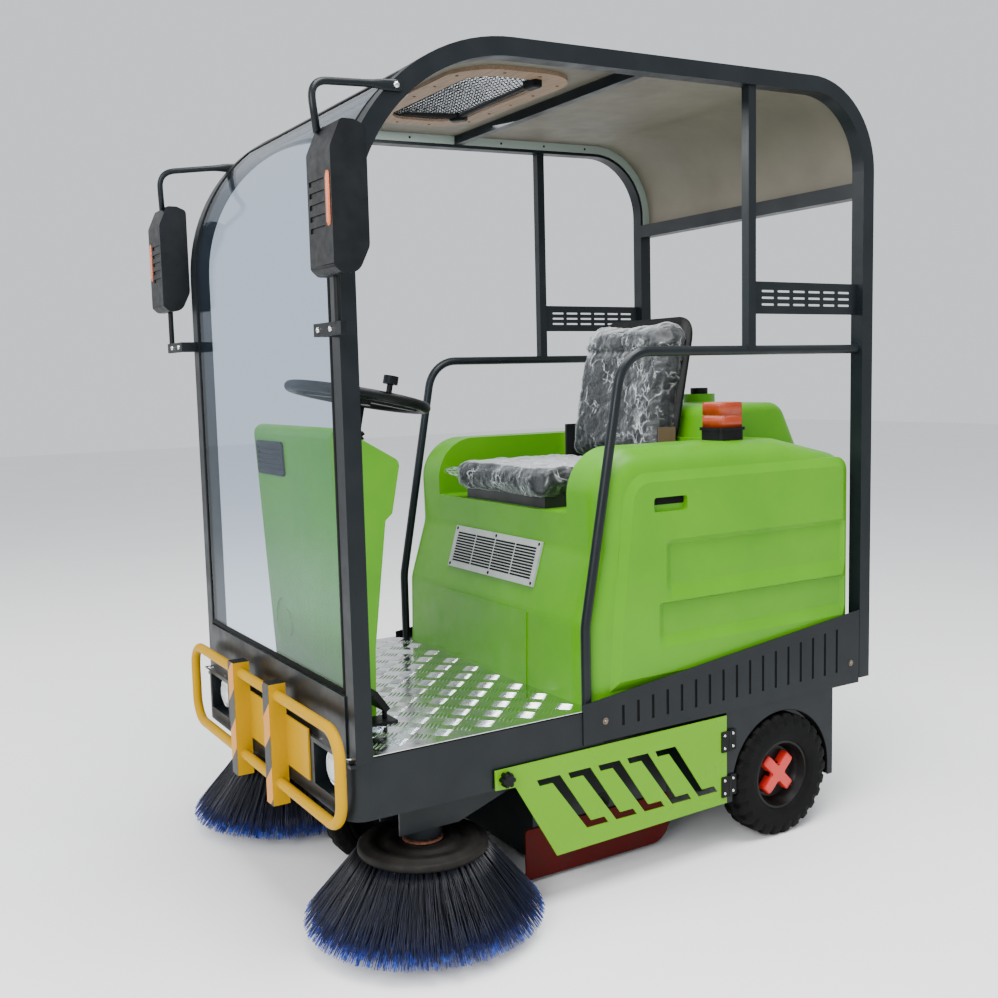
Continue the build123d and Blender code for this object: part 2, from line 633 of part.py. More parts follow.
def front_fascia():
    """Folded sheet below the windscreen with a sill under the glass."""
    sheet = box(-IN_HALF, IN_HALF, FASCIA_Y, FASCIA_Y + FASCIA_T, FLOOR_Z, FASCIA_TOP)
    sill = box(-IN_HALF, IN_HALF, FASCIA_Y, FASCIA_Y + SILL_W, FASCIA_TOP - FASCIA_T, FASCIA_TOP)
    turn = box(IN_HALF - FASCIA_T, IN_HALF, FASCIA_Y, FASCIA_Y + 2 * SILL_W, FLOOR_Z, FASCIA_TOP)
    return sheet + sill + both(turn)


def between(pair, share):
    """Value a share of the way between two."""
    return pair[0] + (pair[1] - pair[0]) * share


def skirt():
    """Side skirt with a rising top edge and a row of upright slots that grow towards the rear."""
    outline = ((SKIRT_Y[0], SKIRT_BOTTOM), (SKIRT_Y[1], SKIRT_BOTTOM), (SKIRT_Y[1], SKIRT_TOP[1]),
               (SKIRT_Y[0], SKIRT_TOP[0]))
    plate = prism_x(outline, *SKIRT_X)
    for slot in range(SLOTS):
        share = slot / (SLOTS - 1)
        y = between((SLOT_FIRST_Y, SLOT_LAST_Y), share)
        plate = plate - box(SKIRT_X[0] - 1, SKIRT_X[1] + 1, y - SLOT_W / 2, y + SLOT_W / 2,
                            between(SLOT_BOTTOM, share), between(SLOT_TOP, share))
    return plate


def hinge_knuckle(z, radius):
    """One third of a door hinge's barrel starting at a height."""
    return rod((HINGE_X, HINGE_Y, z), (HINGE_X, HINGE_Y, z + HINGE_H / 3 - HINGE_END_GAP), radius)


def arch_panel():
    """Panel round the rear wheel, with the fixed halves of the door hinges."""
    panel = box(RAIL_X[1], SKIRT_X[0], *ARCH_Y, *ARCH_Z)
    radius = REAR_R + ARCH_GAP
    panel = panel - rod((RAIL_X[1] - 1, REAR_Y, REAR_R), (SKIRT_X[0] + 1, REAR_Y, REAR_R), radius)
    panel = panel - box(0, FAR, REAR_Y - radius, REAR_Y + radius, 0, REAR_R)
    for middle in HINGE_Z:
        bottom = middle - HINGE_H / 2
        leaf = box(SKIRT_X[0], SKIRT_X[0] + HINGE_LEAF_T, HINGE_Y + HINGE_R + 1, HINGE_Y + HINGE_LEAF, bottom,
                   bottom + HINGE_H)
        z = bottom + HINGE_H / 3
        tab = box(SKIRT_X[0], SKIRT_X[0] + HINGE_LEAF_T, HINGE_Y, HINGE_Y + HINGE_LEAF, z,
                  z + HINGE_H / 3 - HINGE_END_GAP)
        pin = rod((HINGE_X, HINGE_Y, bottom), (HINGE_X, HINGE_Y, bottom + HINGE_H), HINGE_PIN_R)
        panel = panel + leaf + tab + hinge_knuckle(z, HINGE_R) + pin
    return panel


def side_door():
    """Flat door with zigzag cuts, a clamping knob and the moving halves of its hinges."""
    door = prism_x(DOOR_OUTLINE, *DOOR_X)
    for cut in range(DOOR_CUTS):
        start = DOOR_CUT_AT[0] + cut * DOOR_CUT_PITCH
        outline = [(start + y, DOOR_CUT_AT[1] + z) for y, z in DOOR_CUT]
        door = door - prism_x(outline, DOOR_X[0] - 1, DOOR_X[1] + 1)
    knob = rod((DOOR_X[1], *KNOB_AT), (DOOR_X[1] + KNOB_H, *KNOB_AT), KNOB_R - KNOB_LOBE_R)
    lobe = Pos(0, KNOB_R - KNOB_LOBE_R, 0) * rod((DOOR_X[1] + KNOB_H / 3, *KNOB_AT), (DOOR_X[1] + KNOB_H, *KNOB_AT),
                                                 KNOB_LOBE_R)
    for turn in range(KNOB_LOBES):
        knob = knob + lobe.rotate(Axis((0, *KNOB_AT), (1, 0, 0)), turn * 360 / KNOB_LOBES)
    door = door + knob
    for middle in HINGE_Z:
        bottom = middle - HINGE_H / 2
        door = door + box(DOOR_X[1], DOOR_X[1] + HINGE_LEAF_T, HINGE_Y - HINGE_LEAF, HINGE_Y - HINGE_R - 1, bottom,
                          bottom + HINGE_H)
        for z in (bottom, bottom + 2 * HINGE_H / 3):
            tab = box(DOOR_X[1], DOOR_X[1] + HINGE_LEAF_T, HINGE_Y - HINGE_LEAF, HINGE_Y, z,
                      z + HINGE_H / 3 - HINGE_END_GAP)
            door = door + tab + hinge_knuckle(z, HINGE_R) - hinge_knuckle(z, HINGE_PIN_R + RUN_FIT)
    return door


# ---------------------------------------------------------------- wheels
def axle_bracket():
    """Plate under the rail with the stub axle of a rear wheel."""
    foot = box(BRACKET_X[0], RAIL_X[1], REAR_Y - 60, REAR_Y + 60, RAIL_BOTTOM - BRACKET_FOOT_T, RAIL_BOTTOM)
    outline = ((REAR_Y - 55, RAIL_BOTTOM - 1), (REAR_Y - 34, REAR_R - 34, 30), (REAR_Y + 34, REAR_R - 34, 30),
               (REAR_Y + 55, RAIL_BOTTOM - 1))
    plate = prism_x(outline, *BRACKET_X)
    stub = rod((BRACKET_X[0], REAR_Y, REAR_R), (WHEEL_MID + 14, REAR_Y, REAR_R), STUB_R)
    return foot + plate + stub


WHEEL_MID = (REAR_X[0] + REAR_X[1]) / 2
WHEEL_HALF = (REAR_X[1] - REAR_X[0]) / 2


def rear_tyre():
    """Solid tyre whose shoulder blocks alternate from side to side of a middle rib."""
    w = WHEEL_HALF
    profile = (
        (REAR_RIM_R, -w + 9), (REAR_RIM_R + 16, -w, 6), (REAR_R - 12, -w, 10), (REAR_R, -w + 20, 12),
        (REAR_R, w - 20, 12), (REAR_R - 12, w, 10), (REAR_RIM_R + 16, w, 6), (REAR_RIM_R, w - 9),
    )
    tyre = turned(profile, (WHEEL_MID, REAR_Y, REAR_R), (1, 0, 0))
    top, edge = 2 * REAR_R, REAR_X[1]
    outline = ((WHEEL_MID + LUG_RIB, top - LUG_DEPTH), (edge - 14, top - LUG_DEPTH), (edge - 5, top - LUG_WRAP),
               (edge + 1, top - LUG_WRAP), (edge + 1, top + 1), (WHEEL_MID + LUG_RIB, top + 1))
    outer = prism_y(outline, REAR_Y - LUG_GAP_W / 2, REAR_Y + LUG_GAP_W / 2)
    inner = mirror(outer, about=Plane.YZ.offset(WHEEL_MID))
    axle = Axis((0, REAR_Y, REAR_R), (1, 0, 0))
    pitch = 360 / LUGS
    gaps = [outer.rotate(axle, lug * pitch) for lug in range(LUGS)]
    gaps += [inner.rotate(axle, (lug + 0.5) * pitch) for lug in range(LUGS)]
    return tyre - gaps


def rear_rim():
    """Steel rim, dished disc, hub and the four-armed clamp on its outer side."""
    w = WHEEL_HALF - 9
    disc = 6.0
    bore = STUB_R + RUN_FIT
    profile = (
        (bore, -30), (28, -30), (28, -disc), (REAR_RIM_R - 10, -disc), (REAR_RIM_R - 10, -w), (REAR_RIM_R, -w),
        (REAR_RIM_R, w), (REAR_RIM_R - 6, w), (REAR_RIM_R - 14, disc + 8, 5), (REAR_RIM_R - 22, 0), (28, 0),
        (28, 15), (bore, 15),
    )
    rim = turned(profile, (WHEEL_MID, REAR_Y, REAR_R), (1, 0, 0))
    arm = box(WHEEL_MID, WHEEL_MID + 8, REAR_Y + 20, REAR_Y + CROSS_ARM, REAR_R - 9, REAR_R + 9)
    hub = rod((WHEEL_MID + 15, REAR_Y, REAR_R), (WHEEL_MID + 24, REAR_Y, REAR_R), 24)
    for quarter in range(4):
        rim = rim + arm.rotate(Axis((0, REAR_Y, REAR_R), (1, 0, 0)), 45 + 90 * quarter)
    return rim + hub - rod((WHEEL_MID - 40, REAR_Y, REAR_R), (WHEEL_MID + 15, REAR_Y, REAR_R), bore)


def front_fork():
    """Fork with its kingpin, and the axle pin of the front wheel."""
    fork = box(-FORK_X[1], FORK_X[1], FRONT_Y - FORK_HALF, FRONT_Y + FORK_HALF, *FORK_TOP)
    leg = prism_x(
        (
            (FRONT_Y - FORK_HALF, FORK_TOP[1]), (FRONT_Y - 24, FRONT_R - 24, 20),
            (FRONT_Y + 24, FRONT_R - 24, 20), (FRONT_Y + FORK_HALF, FORK_TOP[1]),
        ),
        *FORK_X,
    )
    king = rod((0, FRONT_Y, FORK_TOP[0]), (0, FRONT_Y, FLOOR_UNDER - DOOR_GAP), KING_R)
    pin = rod((-FORK_X[1], FRONT_Y, FRONT_R), (FORK_X[1], FRONT_Y, FRONT_R), FORK_PIN_R)
    return fork + both(leg) + king + pin


def front_tyre():
    """Solid tyre of the steered wheel."""
    h = FRONT_HALF
    profile = (
        (FRONT_RIM_R, -h + 6), (FRONT_R - 10, -h, 6), (FRONT_R, -h + 12, 8), (FRONT_R, h - 12, 8),
        (FRONT_R - 10, h, 6), (FRONT_RIM_R, h - 6),
    )
    return turned(profile, (0, FRONT_Y, FRONT_R), (1, 0, 0))


def front_rim():
    """Cast hub of the steered wheel."""
    h = FRONT_HALF - 6
    bore = FORK_PIN_R + RUN_FIT
    hub = FORK_X[0] - 5
    profile = (
        (bore, -hub), (24, -hub), (24, -8), (FRONT_RIM_R - 10, -8), (FRONT_RIM_R - 10, -h), (FRONT_RIM_R, -h),
        (FRONT_RIM_R, h), (FRONT_RIM_R - 10, h), (FRONT_RIM_R - 10, 8), (24, 8), (24, hub), (bore, hub),
    )
    return turned(profile, (0, FRONT_Y, FRONT_R), (1, 0, 0))


# ---------------------------------------------------------------- sweeping gear
def side_brush():
    """Disc with its skirt of bristles, splayed down to the tips."""
    bore = SHAFT_R + RUN_FIT
    profile = (
        (bore, DISC_Z[0]), (DISC_R - 45, DISC_Z[0] - 6), (BRUSH_R - 26, TIP_Z), (BRUSH_R, TIP_Z),
        (BRUSH_R - 4, TIP_Z + 14), (DISC_R, DISC_Z[0] - 2), (DISC_R, DISC_Z[0] + 14, 6), (60, DISC_Z[1], 6),
        (bore, DISC_Z[1]),
    )
    return turned(profile, (BRUSH_X, BRUSH_Y, 0), (0, 0, 1))


def side_brush_arm():
    """Two plates from the pivot tube to the motor plate, with the motor and its shaft below."""
    arm = rod((ARM_X[0], PIVOT_Y, PIVOT_Z), (ARM_X[1], PIVOT_Y, PIVOT_Z), 2 * PIVOT_R)
    rear = BRUSH_Y + ARM_TAIL
    front = BRUSH_Y - ARM_NOSE
    cheek = (
        (PIVOT_Y + 18, PIVOT_Z + 18, 16), (PIVOT_Y + 18, PIVOT_Z - 18, 16), (rear + 10, ARM_TOP - ARM_SIDE_H),
        (front, ARM_TOP - ARM_SIDE_H), (front, ARM_TOP), (rear, ARM_TOP),
    )
    for x in (ARM_X[0], ARM_X[1] - ARM_T):
        arm = arm + prism_x(cheek, x, x + ARM_T)
    arm = arm + box(ARM_X[0], ARM_X[1], front, rear, ARM_TOP - ARM_T, ARM_TOP)
    motor = rod((BRUSH_X, BRUSH_Y, MOTOR_Z[0]), (BRUSH_X, BRUSH_Y, ARM_TOP - ARM_T), MOTOR_R)
    shaft = rod((BRUSH_X, BRUSH_Y, DISC_Z[0]), (BRUSH_X, BRUSH_Y, MOTOR_Z[0]), SHAFT_R)
    bore = rod((0, PIVOT_Y, PIVOT_Z), (FAR, PIVOT_Y, PIVOT_Z), PIVOT_R + RUN_FIT)
    return arm + motor + shaft - bore


def roller_brush():
    """Broom roller with its stub shafts."""
    end = HOUSING_X[1] + 6
    profile = (
        (0, -end), (ROLLER_STUB_R, -end), (ROLLER_STUB_R, -ROLLER_HALF), (ROLLER_R, -ROLLER_HALF),
        (ROLLER_R, ROLLER_HALF), (ROLLER_STUB_R, ROLLER_HALF), (ROLLER_STUB_R, end), (0, end),
    )
    return turned(profile, (0, ROLLER_Y, ROLLER_Z), (1, 0, 0))


def broom_housing():
    """Side plates and the hood over the roller, open to the floor and to the hopper."""
    plate = prism_x(
        (
            (HOUSING_Y[0], HOUSING_Z, 20), (HOUSING_Y[1], HOUSING_Z, 20), (HOUSING_Y[1], RAIL_BOTTOM),
            (HOUSING_Y[0] + 60, RAIL_BOTTOM), (HOUSING_Y[0], HOOD_Z - 60),
        ),
        *HOUSING_X,
    )
    line = [(HOOD_Y, HOUSING_Z, 0.0), (HOOD_Y, HOOD_Z, HOOD_R), (HOUSING_Y[1], HOOD_Z, 0.0)]
    under = [(HOUSING_Y[1], HOOD_Z - HOOD_T, 0.0), (HOOD_Y + HOOD_T, HOOD_Z - HOOD_T, HOOD_R - HOOD_T),
             (HOOD_Y + HOOD_T, HOUSING_Z, 0.0)]
    hood = prism_x(line + under, -HOUSING_X[0], HOUSING_X[0])
    hole = rod((-FAR, ROLLER_Y, ROLLER_Z), (FAR, ROLLER_Y, ROLLER_Z), ROLLER_STUB_R + RUN_FIT)
    return both(plate) + hood - hole


def side_flap():
    """Rubber flap on the outside of the broom housing."""
    outline = ((FLAP_Y[0], FLAP_Z[0]), (FLAP_Y[1], FLAP_Z[0], 60), (FLAP_Y[1], FLAP_Z[1], 10),
               (FLAP_Y[0], FLAP_Z[1], 10))
    flap = prism_x(outline, HOUSING_X[1], HOUSING_X[1] + FLAP_T)
    return flap


def dust_hopper():
    """Open-topped bin with a mouth towards the roller, lips to slide on and a handle behind."""
    outer = box(-HOPPER_HALF, HOPPER_HALF, *HOPPER_Y, *HOPPER_Z)
    wall = HOPPER_WALL
    inner = box(-HOPPER_HALF + wall, HOPPER_HALF - wall, HOPPER_Y[0] + wall, HOPPER_Y[1] - wall,
                HOPPER_Z[0] + wall, FAR)
    mouth = box(-HOPPER_HALF + wall, HOPPER_HALF - wall, HOPPER_Y[0] - 1, HOPPER_Y[0] + wall + 1,
                HOPPER_Z[0] + 60, FAR)
    lip = box(HOPPER_HALF - wall, HOPPER_HALF + HOPPER_LIP, *HOPPER_Y, HOPPER_Z[1] - RUNNER_T, HOPPER_Z[1])
    half, bar, bottom, reach = HOPPER_GRIP
    grip = HOPPER_Y[1] + reach
    handle = box(half - bar, half, HOPPER_Y[1], grip, bottom, bottom + bar)
    handle = handle + box(0, half, grip - bar, grip, bottom, bottom + bar)
    return outer - inner - mouth + both(lip) + both(handle)


# ---------------------------------------------------------------- console and steering
CONSOLE_LEAN = atan2(CONSOLE_SIDE[1][0] - CONSOLE_SIDE[0][0], CONSOLE_SIDE[1][1] - CONSOLE_SIDE[0][1])


def console_form(inset):
    """Console body, taken in by an inset, wider at the top than at the floor."""
    side = inset_outline(CONSOLE_SIDE, inset)
    low, high = (half - inset for half in CONSOLE_HALF)
    top = max(z for _, z, _ in CONSOLE_SIDE) - inset
    edge = CONSOLE_EDGE - inset
    front = ((-low, FLOOR_Z), (low, FLOOR_Z), (high, top, edge), (-high, top, edge))
    side = [(y, FLOOR_Z - 1 if z < FLOOR_Z + 2 * inset and inset else z, r) for y, z, r in side]
    return prism_x(side, -FAR, FAR) & prism_y([(p[0], p[1] - 1 if inset and p[1] == FLOOR_Z else p[1], *p[2:])
                                                for p in front], -FAR, 0)


STEER_AXIS = (0.0, sin(radians(STEER_TILT)), cos(radians(STEER_TILT)))


def on_column(distance):
    """Point on the steering axis, below the wheel by a distance."""
    return tuple(at - distance * way for at, way in zip(STEER_AT, STEER_AXIS))


def steering_column():
    """Shaft in its tube with the rubber bellows where it leaves the console."""
    tube = rod(on_column(COLUMN_FOOT), on_column(22), COLUMN_R)
    shaft = rod(on_column(22), on_column(-8), COLUMN_SHAFT_R)
    rings = []
    for ring in range(4):
        rings += [(COLUMN_R + 12, 8 + 12 * ring), (COLUMN_R + 6, 14 + 12 * ring)]
    profile = [(COLUMN_R - 2, -70), (BELLOWS_R, -70), (BELLOWS_R, 2)] + rings + [(COLUMN_R - 2, 50)]
    bellows = turned(profile, on_column(COLUMN_FOOT - 42), STEER_AXIS)
    return biggest(tube + shaft + bellows - console_form(0.0))


def console():
    """Hollow moulded console on the floor."""
    shell = console_form(0.0) - console_form(CONSOLE_WALL)
    outer, inner, deep = CONSOLE_RING
    ring = Cylinder(outer, 2 * deep) - Cylinder(inner, 2 * deep)
    x, z = CONSOLE_RING_AT
    y = CONSOLE_SIDE[0][0] + tan(CONSOLE_LEAN) * (z - CONSOLE_SIDE[0][1])
    return biggest(shell - Pos(x, y, z) * Rot(90 - degrees(CONSOLE_LEAN), 0, 0) * ring)


def console_vent():
    """Bright louvred vent on the console's front."""
    half = ((VENT_X[1] - VENT_X[0]) / 2, (VENT_Z[1] - VENT_Z[0]) / 2)
    middle = (VENT_Z[0] + VENT_Z[1]) / 2
    y = CONSOLE_SIDE[0][0] + tan(CONSOLE_LEAN) * (middle - CONSOLE_SIDE[0][1])
    plate = Plane.XZ * oblong(half[0], half[1], 10, 0, VENT_T)
    pitch = 2 * (half[1] - 12) / VENT_BLADES
    for blade in range(VENT_BLADES):
        z = -half[1] + 12 + (blade + 0.5) * pitch
        plate = plate - box(-half[0] + 10, half[0] - 10, -VENT_T - 1, -2, z - pitch / 4, z + pitch / 4)
    at = Pos((VENT_X[0] + VENT_X[1]) / 2, y, middle) * Rot(degrees(-CONSOLE_LEAN), 0, 0)
    return at * plate


def steering_wheel():
    """Rim, three spokes, hub and a spinner knob."""
    plane = Plane(origin=STEER_AT, x_dir=(1, 0, 0), z_dir=STEER_AXIS)
    wheel = plane * Torus(STEER_R, STEER_GRIP_R)
    for third in range(3):
        spoke = Rot(0, 0, 90 + 120 * third) * Pos(STEER_R / 2, 0, -4) * Box(STEER_R, 26, 7)
        wheel = wheel + plane * spoke
    wheel = wheel + plane * Pos(0, 0, -4) * Cylinder(34, 24)
    knob = Pos(STEER_R, 0, 0) * (Pos(0, 0, 20) * Cylinder(7, 26) + Pos(0, 0, 42) * Cylinder(18, 20))
    wheel = wheel + plane * knob
    return wheel - rod(on_column(FAR), on_column(-8), COLUMN_SHAFT_R + RUN_FIT) - rod(
        on_column(FAR), on_column(20), 2 * COLUMN_R)


def brake_pedal():
    """Pedal pad on a bent lever with its bolted foot."""
    x, y = PEDAL_AT
    foot = box(x - 30, x + 30, y - 25, y + 45, FLOOR_Z, FLOOR_Z + 6)
    lever = bent_tube(((x, y + 25, FLOOR_Z + 3, 0), (x, y + 25, FLOOR_Z + 45, 20), (x, y, FLOOR_Z + 58, 0)), 6)
    pad = Pos(x, y, FLOOR_Z + 58) * Rot(35, 0, 0) * Box(2 * PEDAL_PAD[0], PEDAL_PAD[1], PEDAL_PAD[2])
    return foot + lever + pad


# ---------------------------------------------------------------- rear body
def body_form(inset):
    """Outside of the rear body, taken in by an inset, with rounded side edges."""
    bottom = FLOOR_Z - (1.0 if inset else 0.0)
    side = [(y, bottom if z < FLOOR_Z + 2 * inset + 1 else z, r) for y, z, r in inset_outline(BODY_SIDE, inset)]
    half = BODY_HALF - inset
    form = prism_x(side, -half, half)
    edges = [e for e in form.edges() if abs(abs(e.center().X) - half) < 0.01 and e.center().Z > bottom + 1]
    return fillet(edges, BODY_EDGE - inset)


def well(grow):
    """Space of the seat between the wings, grown by an amount."""
    half = WELL_HALF + grow
    rear = WELL_REAR_Y + grow
    plan = ((-half, -400), (half, -400), (half, rear, WELL_R + grow), (-half, rear, WELL_R + grow))
    return prism_z(plan, DECK_Z - grow, FAR)


GRILLE_LEAN = atan2(BODY_SIDE[2][0] - BODY_SIDE[1][0], BODY_SIDE[2][1] - BODY_SIDE[1][1])
GRILLE_Y = BODY_SIDE[1][0] + tan(GRILLE_LEAN) * (GRILLE_Z - BODY_SIDE[1][1])
grille_at = Pos(0, GRILLE_Y, GRILLE_Z) * Rot(degrees(-GRILLE_LEAN), 0, 0)


def side_panel():
    """Raised panel on the side of the body: bevelled edges, two louvre-like grooves and a hand pocket."""
    face = BODY_HALF + PANEL_RISE
    plane = Plane(origin=(0, 0, 0), x_dir=(0, 1, 0), z_dir=(1, 0, 0))
    foot = plane.offset(BODY_HALF) * flat(PANEL_LINE)
    crest = plane.offset(face) * flat(inset_outline(PANEL_LINE, PANEL_BEVEL))
    panel = loft([foot, crest], ruled=True) + prism_x(PANEL_LINE, BODY_HALF - PANEL_DEEP, BODY_HALF)
    return panel & prism_x(PANEL_LINE, BODY_HALF - PANEL_DEEP, face)


def groove(front, edge, foot, slope, end):
    """Cut with a steep upper side and a long lower slope, running out to nothing at both ends."""
    face = BODY_HALF + PANEL_RISE
    sections = []
    for y, x in ((front - GROOVE_RUN_OUT, face + 0.5), (front, face - GROOVE_DEPTH),
                 (GROOVE_REAR_Y, face - GROOVE_DEPTH), (GROOVE_REAR_Y + GROOVE_RUN_OUT, face + 0.5)):
        rim = max(x, face) - 0.2
        points = ((face + 1, edge), (rim, edge), (x, foot), (x, slope), (rim, end), (face + 1, end))
        plane = Plane(origin=(0, y, 0), x_dir=(1, 0, 0), z_dir=(0, -1, 0))
        sections.append(plane * flat(points))
    return loft(sections, ruled=True)


def rear_body():
    """One moulding: wings, seat deck, side panels and the tank hump behind the seat."""
    shell = body_form(0.0) - well(0.0) + both(side_panel())
    shell = shell - (body_form(BODY_WALL) - well(BODY_WALL))
    y0, y1, z0, z1 = POCKET
    pocket = prism_x([(y0, z0, POCKET_R), (y1, z0, POCKET_R), (y1, z1, POCKET_R), (y0, z1, POCKET_R)],
                     BODY_HALF + PANEL_RISE - GROOVE_DEPTH, FAR)
    cuts = pocket
    for line in GROOVES:
        cuts = cuts + groove(*line)
    half, top, thick = APRON
    front, knee = BODY_SIDE[0][0], BODY_SIDE[1][0]
    apron = prism_x(((front - thick, FLOOR_Z), (front + thick, FLOOR_Z), (knee + thick, top),
                     (knee - thick, top)), -half, half)
    hump = prism_x(HUMP, -HUMP_HALF, HUMP_HALF)
    edges = [e for e in hump.edges() if abs(abs(e.center().X) - HUMP_HALF) < 0.01 and e.center().Z > WING_Z]
    hump = fillet(edges, HUMP_EDGE) - body_form(0.0)
    neck = rod((*NECK_AT, HUMP[1][1] - 20), (*NECK_AT, NECK_Z), NECK_R)
    seat = grille_at * box(-GRILLE[0], GRILLE[0], -60, GRILLE_SINK, -GRILLE[1], GRILLE[1])
    return biggest(shell - both(cuts) + hump + neck + apron - seat)


def grille():
    """Grille of long louvre slots in a screwed-on frame."""
    plate = box(-GRILLE[0], GRILLE[0], GRILLE_SINK - GRILLE_T, GRILLE_SINK, -GRILLE[1], GRILLE[1])
    wide = 2 * (GRILLE[0] - GRILLE_RIM) / GRILLE_COLS
    tall = 2 * (GRILLE[1] - GRILLE_RIM) / GRILLE_ROWS
    for column in range(GRILLE_COLS):
        x = (column + 0.5) * wide - GRILLE[0] + GRILLE_RIM
        for row in range(GRILLE_ROWS):
            z = (row + 0.5) * tall - GRILLE[1] + GRILLE_RIM
            plate = plate - box(x - wide / 2 + GRILLE_BAR / 2, x + wide / 2 - GRILLE_BAR / 2, -FAR, FAR,
                                z - tall / 3, z + tall / 3)
    return grille_at * plate


# ---------------------------------------------------------------- seat, beacon, guard, mirrors
def seat_base():
    """Pan on the deck with the two brackets of the backrest."""
    half, front, rear, top = SEAT_BASE
    thick, start, end, high = BACK_BRACKET
    pan = box(-half, half, front, rear, DECK_Z, top)
    bar = box(-BACK_HALF - thick, BACK_HALF + thick, start, start + 10, DECK_Z, top)
    bracket = box(BACK_HALF, BACK_HALF + thick, start, end, DECK_Z, high)
    return pan + bar + both(bracket)


def seat_cushion():
    """Cushion with rounded corners."""
    half, front, rear, top = CUSHION
    outline = [(front, SEAT_BASE[3]), (rear, SEAT_BASE[3]), (rear, top), (front, top)]
    at_front, at_rear = CUSHION_CORNERS
    plan = ((-half, front, at_front), (half, front, at_front), (half, rear, at_rear), (-half, rear, at_rear))
    return prism_x([(y, z, CUSHION_R) for y, z in outline], -half, half) & prism_z(plan, 0, FAR)


def seat_back():
    """Leaning backrest with rounded shoulders."""
    outline = [BACK_FOOT, (BACK_FOOT[0] + BACK_T, BACK_FOOT[1]), (BACK_TOP[0] + BACK_T, BACK_TOP[1]), BACK_TOP]
    at_top, at_foot = BACK_CORNERS
    face = ((-BACK_HALF, BACK_FOOT[1], at_foot), (BACK_HALF, BACK_FOOT[1], at_foot),
            (BACK_HALF, BACK_TOP[1], at_top), (-BACK_HALF, BACK_TOP[1], at_top))
    back = prism_x([(y, z, CUSHION_R) for y, z in outline], -BACK_HALF, BACK_HALF) & prism_y(face, -FAR, FAR)
    return back - seat_cushion()


def beacon_base():
    """Square base of the beacon with a flange under the lens."""
    half, high = BEACON_BASE
    neck, step = BEACON_NECK
    radius = BEACON_LENS[2]
    return oblong(neck, neck, radius, 0, step) + oblong(half, half, radius, step, high)


def beacon_lens():
    """Square lens with a groove round its middle."""
    half, high, radius = BEACON_LENS
    start, end, deep = BEACON_GROOVE
    ring = oblong(2 * half, 2 * half, radius, start, end) - oblong(half - deep, half - deep, radius - deep, start, end)
    return oblong(half, half, radius, 0, high) - ring


def bumper_guard():
    """Tube loop in front of the machine on two posts, strapped to a plate on the band."""
    low, high = GUARD_Z
    points = ((0, low, 0), (GUARD_HALF, low, GUARD_BEND), (GUARD_HALF, high, GUARD_BEND), (0, high, 0))
    half_loop = bent_tube([(x, GUARD_Y, z, r) for x, z, r in points], GUARD_R)
    post = box(*POST_X, GUARD_Y - POST_DEPTH / 2, GUARD_Y + POST_DEPTH / 2, *POST_Z)
    strap = box(*STRAP_X, GUARD_Y + POST_DEPTH / 2, BAND_FRONT_Y, *STRAP_Z)
    half, thick, bottom, top = BACK_PLATE
    plate = box(-half, half, BAND_FRONT_Y - thick, BAND_FRONT_Y, bottom, top)
    return both(half_loop + post + strap) + plate


def mirror_piece():
    """Mirror with its ribbed case, the arm from the hoop, and the rod and clamp that steady it."""
    y, z = MIRROR_ARM_AT
    case = prism_x(MIRROR_CASE, *MIRROR_X)
    front = min(point[0] for point in MIRROR_CASE)
    low = min(point[1] for point in MIRROR_CASE)
    high = max(point[1] for point in MIRROR_CASE)
    for rib in range(MIRROR_RIBS):
        bottom = MIRROR_RIB_Z + rib * MIRROR_RIB_PITCH
        case = case - box(*MIRROR_RIB_X, front - 1, front + MIRROR_RIB[1], bottom, bottom + MIRROR_RIB[0])
    arm = bent_tube(
        (
            (CAB_HALF, y, z, 0), (CAB_HALF + 20, y, z, 12), (CAB_HALF + 34, MIRROR_ARM_Y, MIRROR_ARM_TOP, 15),
            (MIRROR_ARM_X + 6, MIRROR_ARM_Y, high - 5, 0),
        ),
        MIRROR_ARM_R,
    )
    steady = rod((MIRROR_ROD_X, MIRROR_ARM_Y, CLAMP_Z[1] - 5), (MIRROR_ROD_X, MIRROR_ARM_Y, low + 5), MIRROR_ARM_R)
    clamp = box(*CLAMP_X, MIRROR_ARM_Y - 6, MIRROR_ARM_Y + 6, *CLAMP_Z)
    clamp = clamp + box(CLAMP_X[0], CAB_HALF, MIRROR_ARM_Y - 6, HOOP_FRONT_Y, *CLAMP_Z)
    return case + arm + steady + clamp


def headlamp():
    """Round lamp seated on the back of its pocket."""
    back = BAND_FRONT_Y + BAND_T + LAMP_DEPTH
    profile = ((0, 0), (LAMP_R, 0), (LAMP_R, LAMP_DEPTH - 14), (LAMP_R - 14, LAMP_DEPTH - 4, 20),
               (0, LAMP_DEPTH - 2))
    return turned(profile, (LAMP_X, back, LAMP_Z + 4), (0, -1, 0))


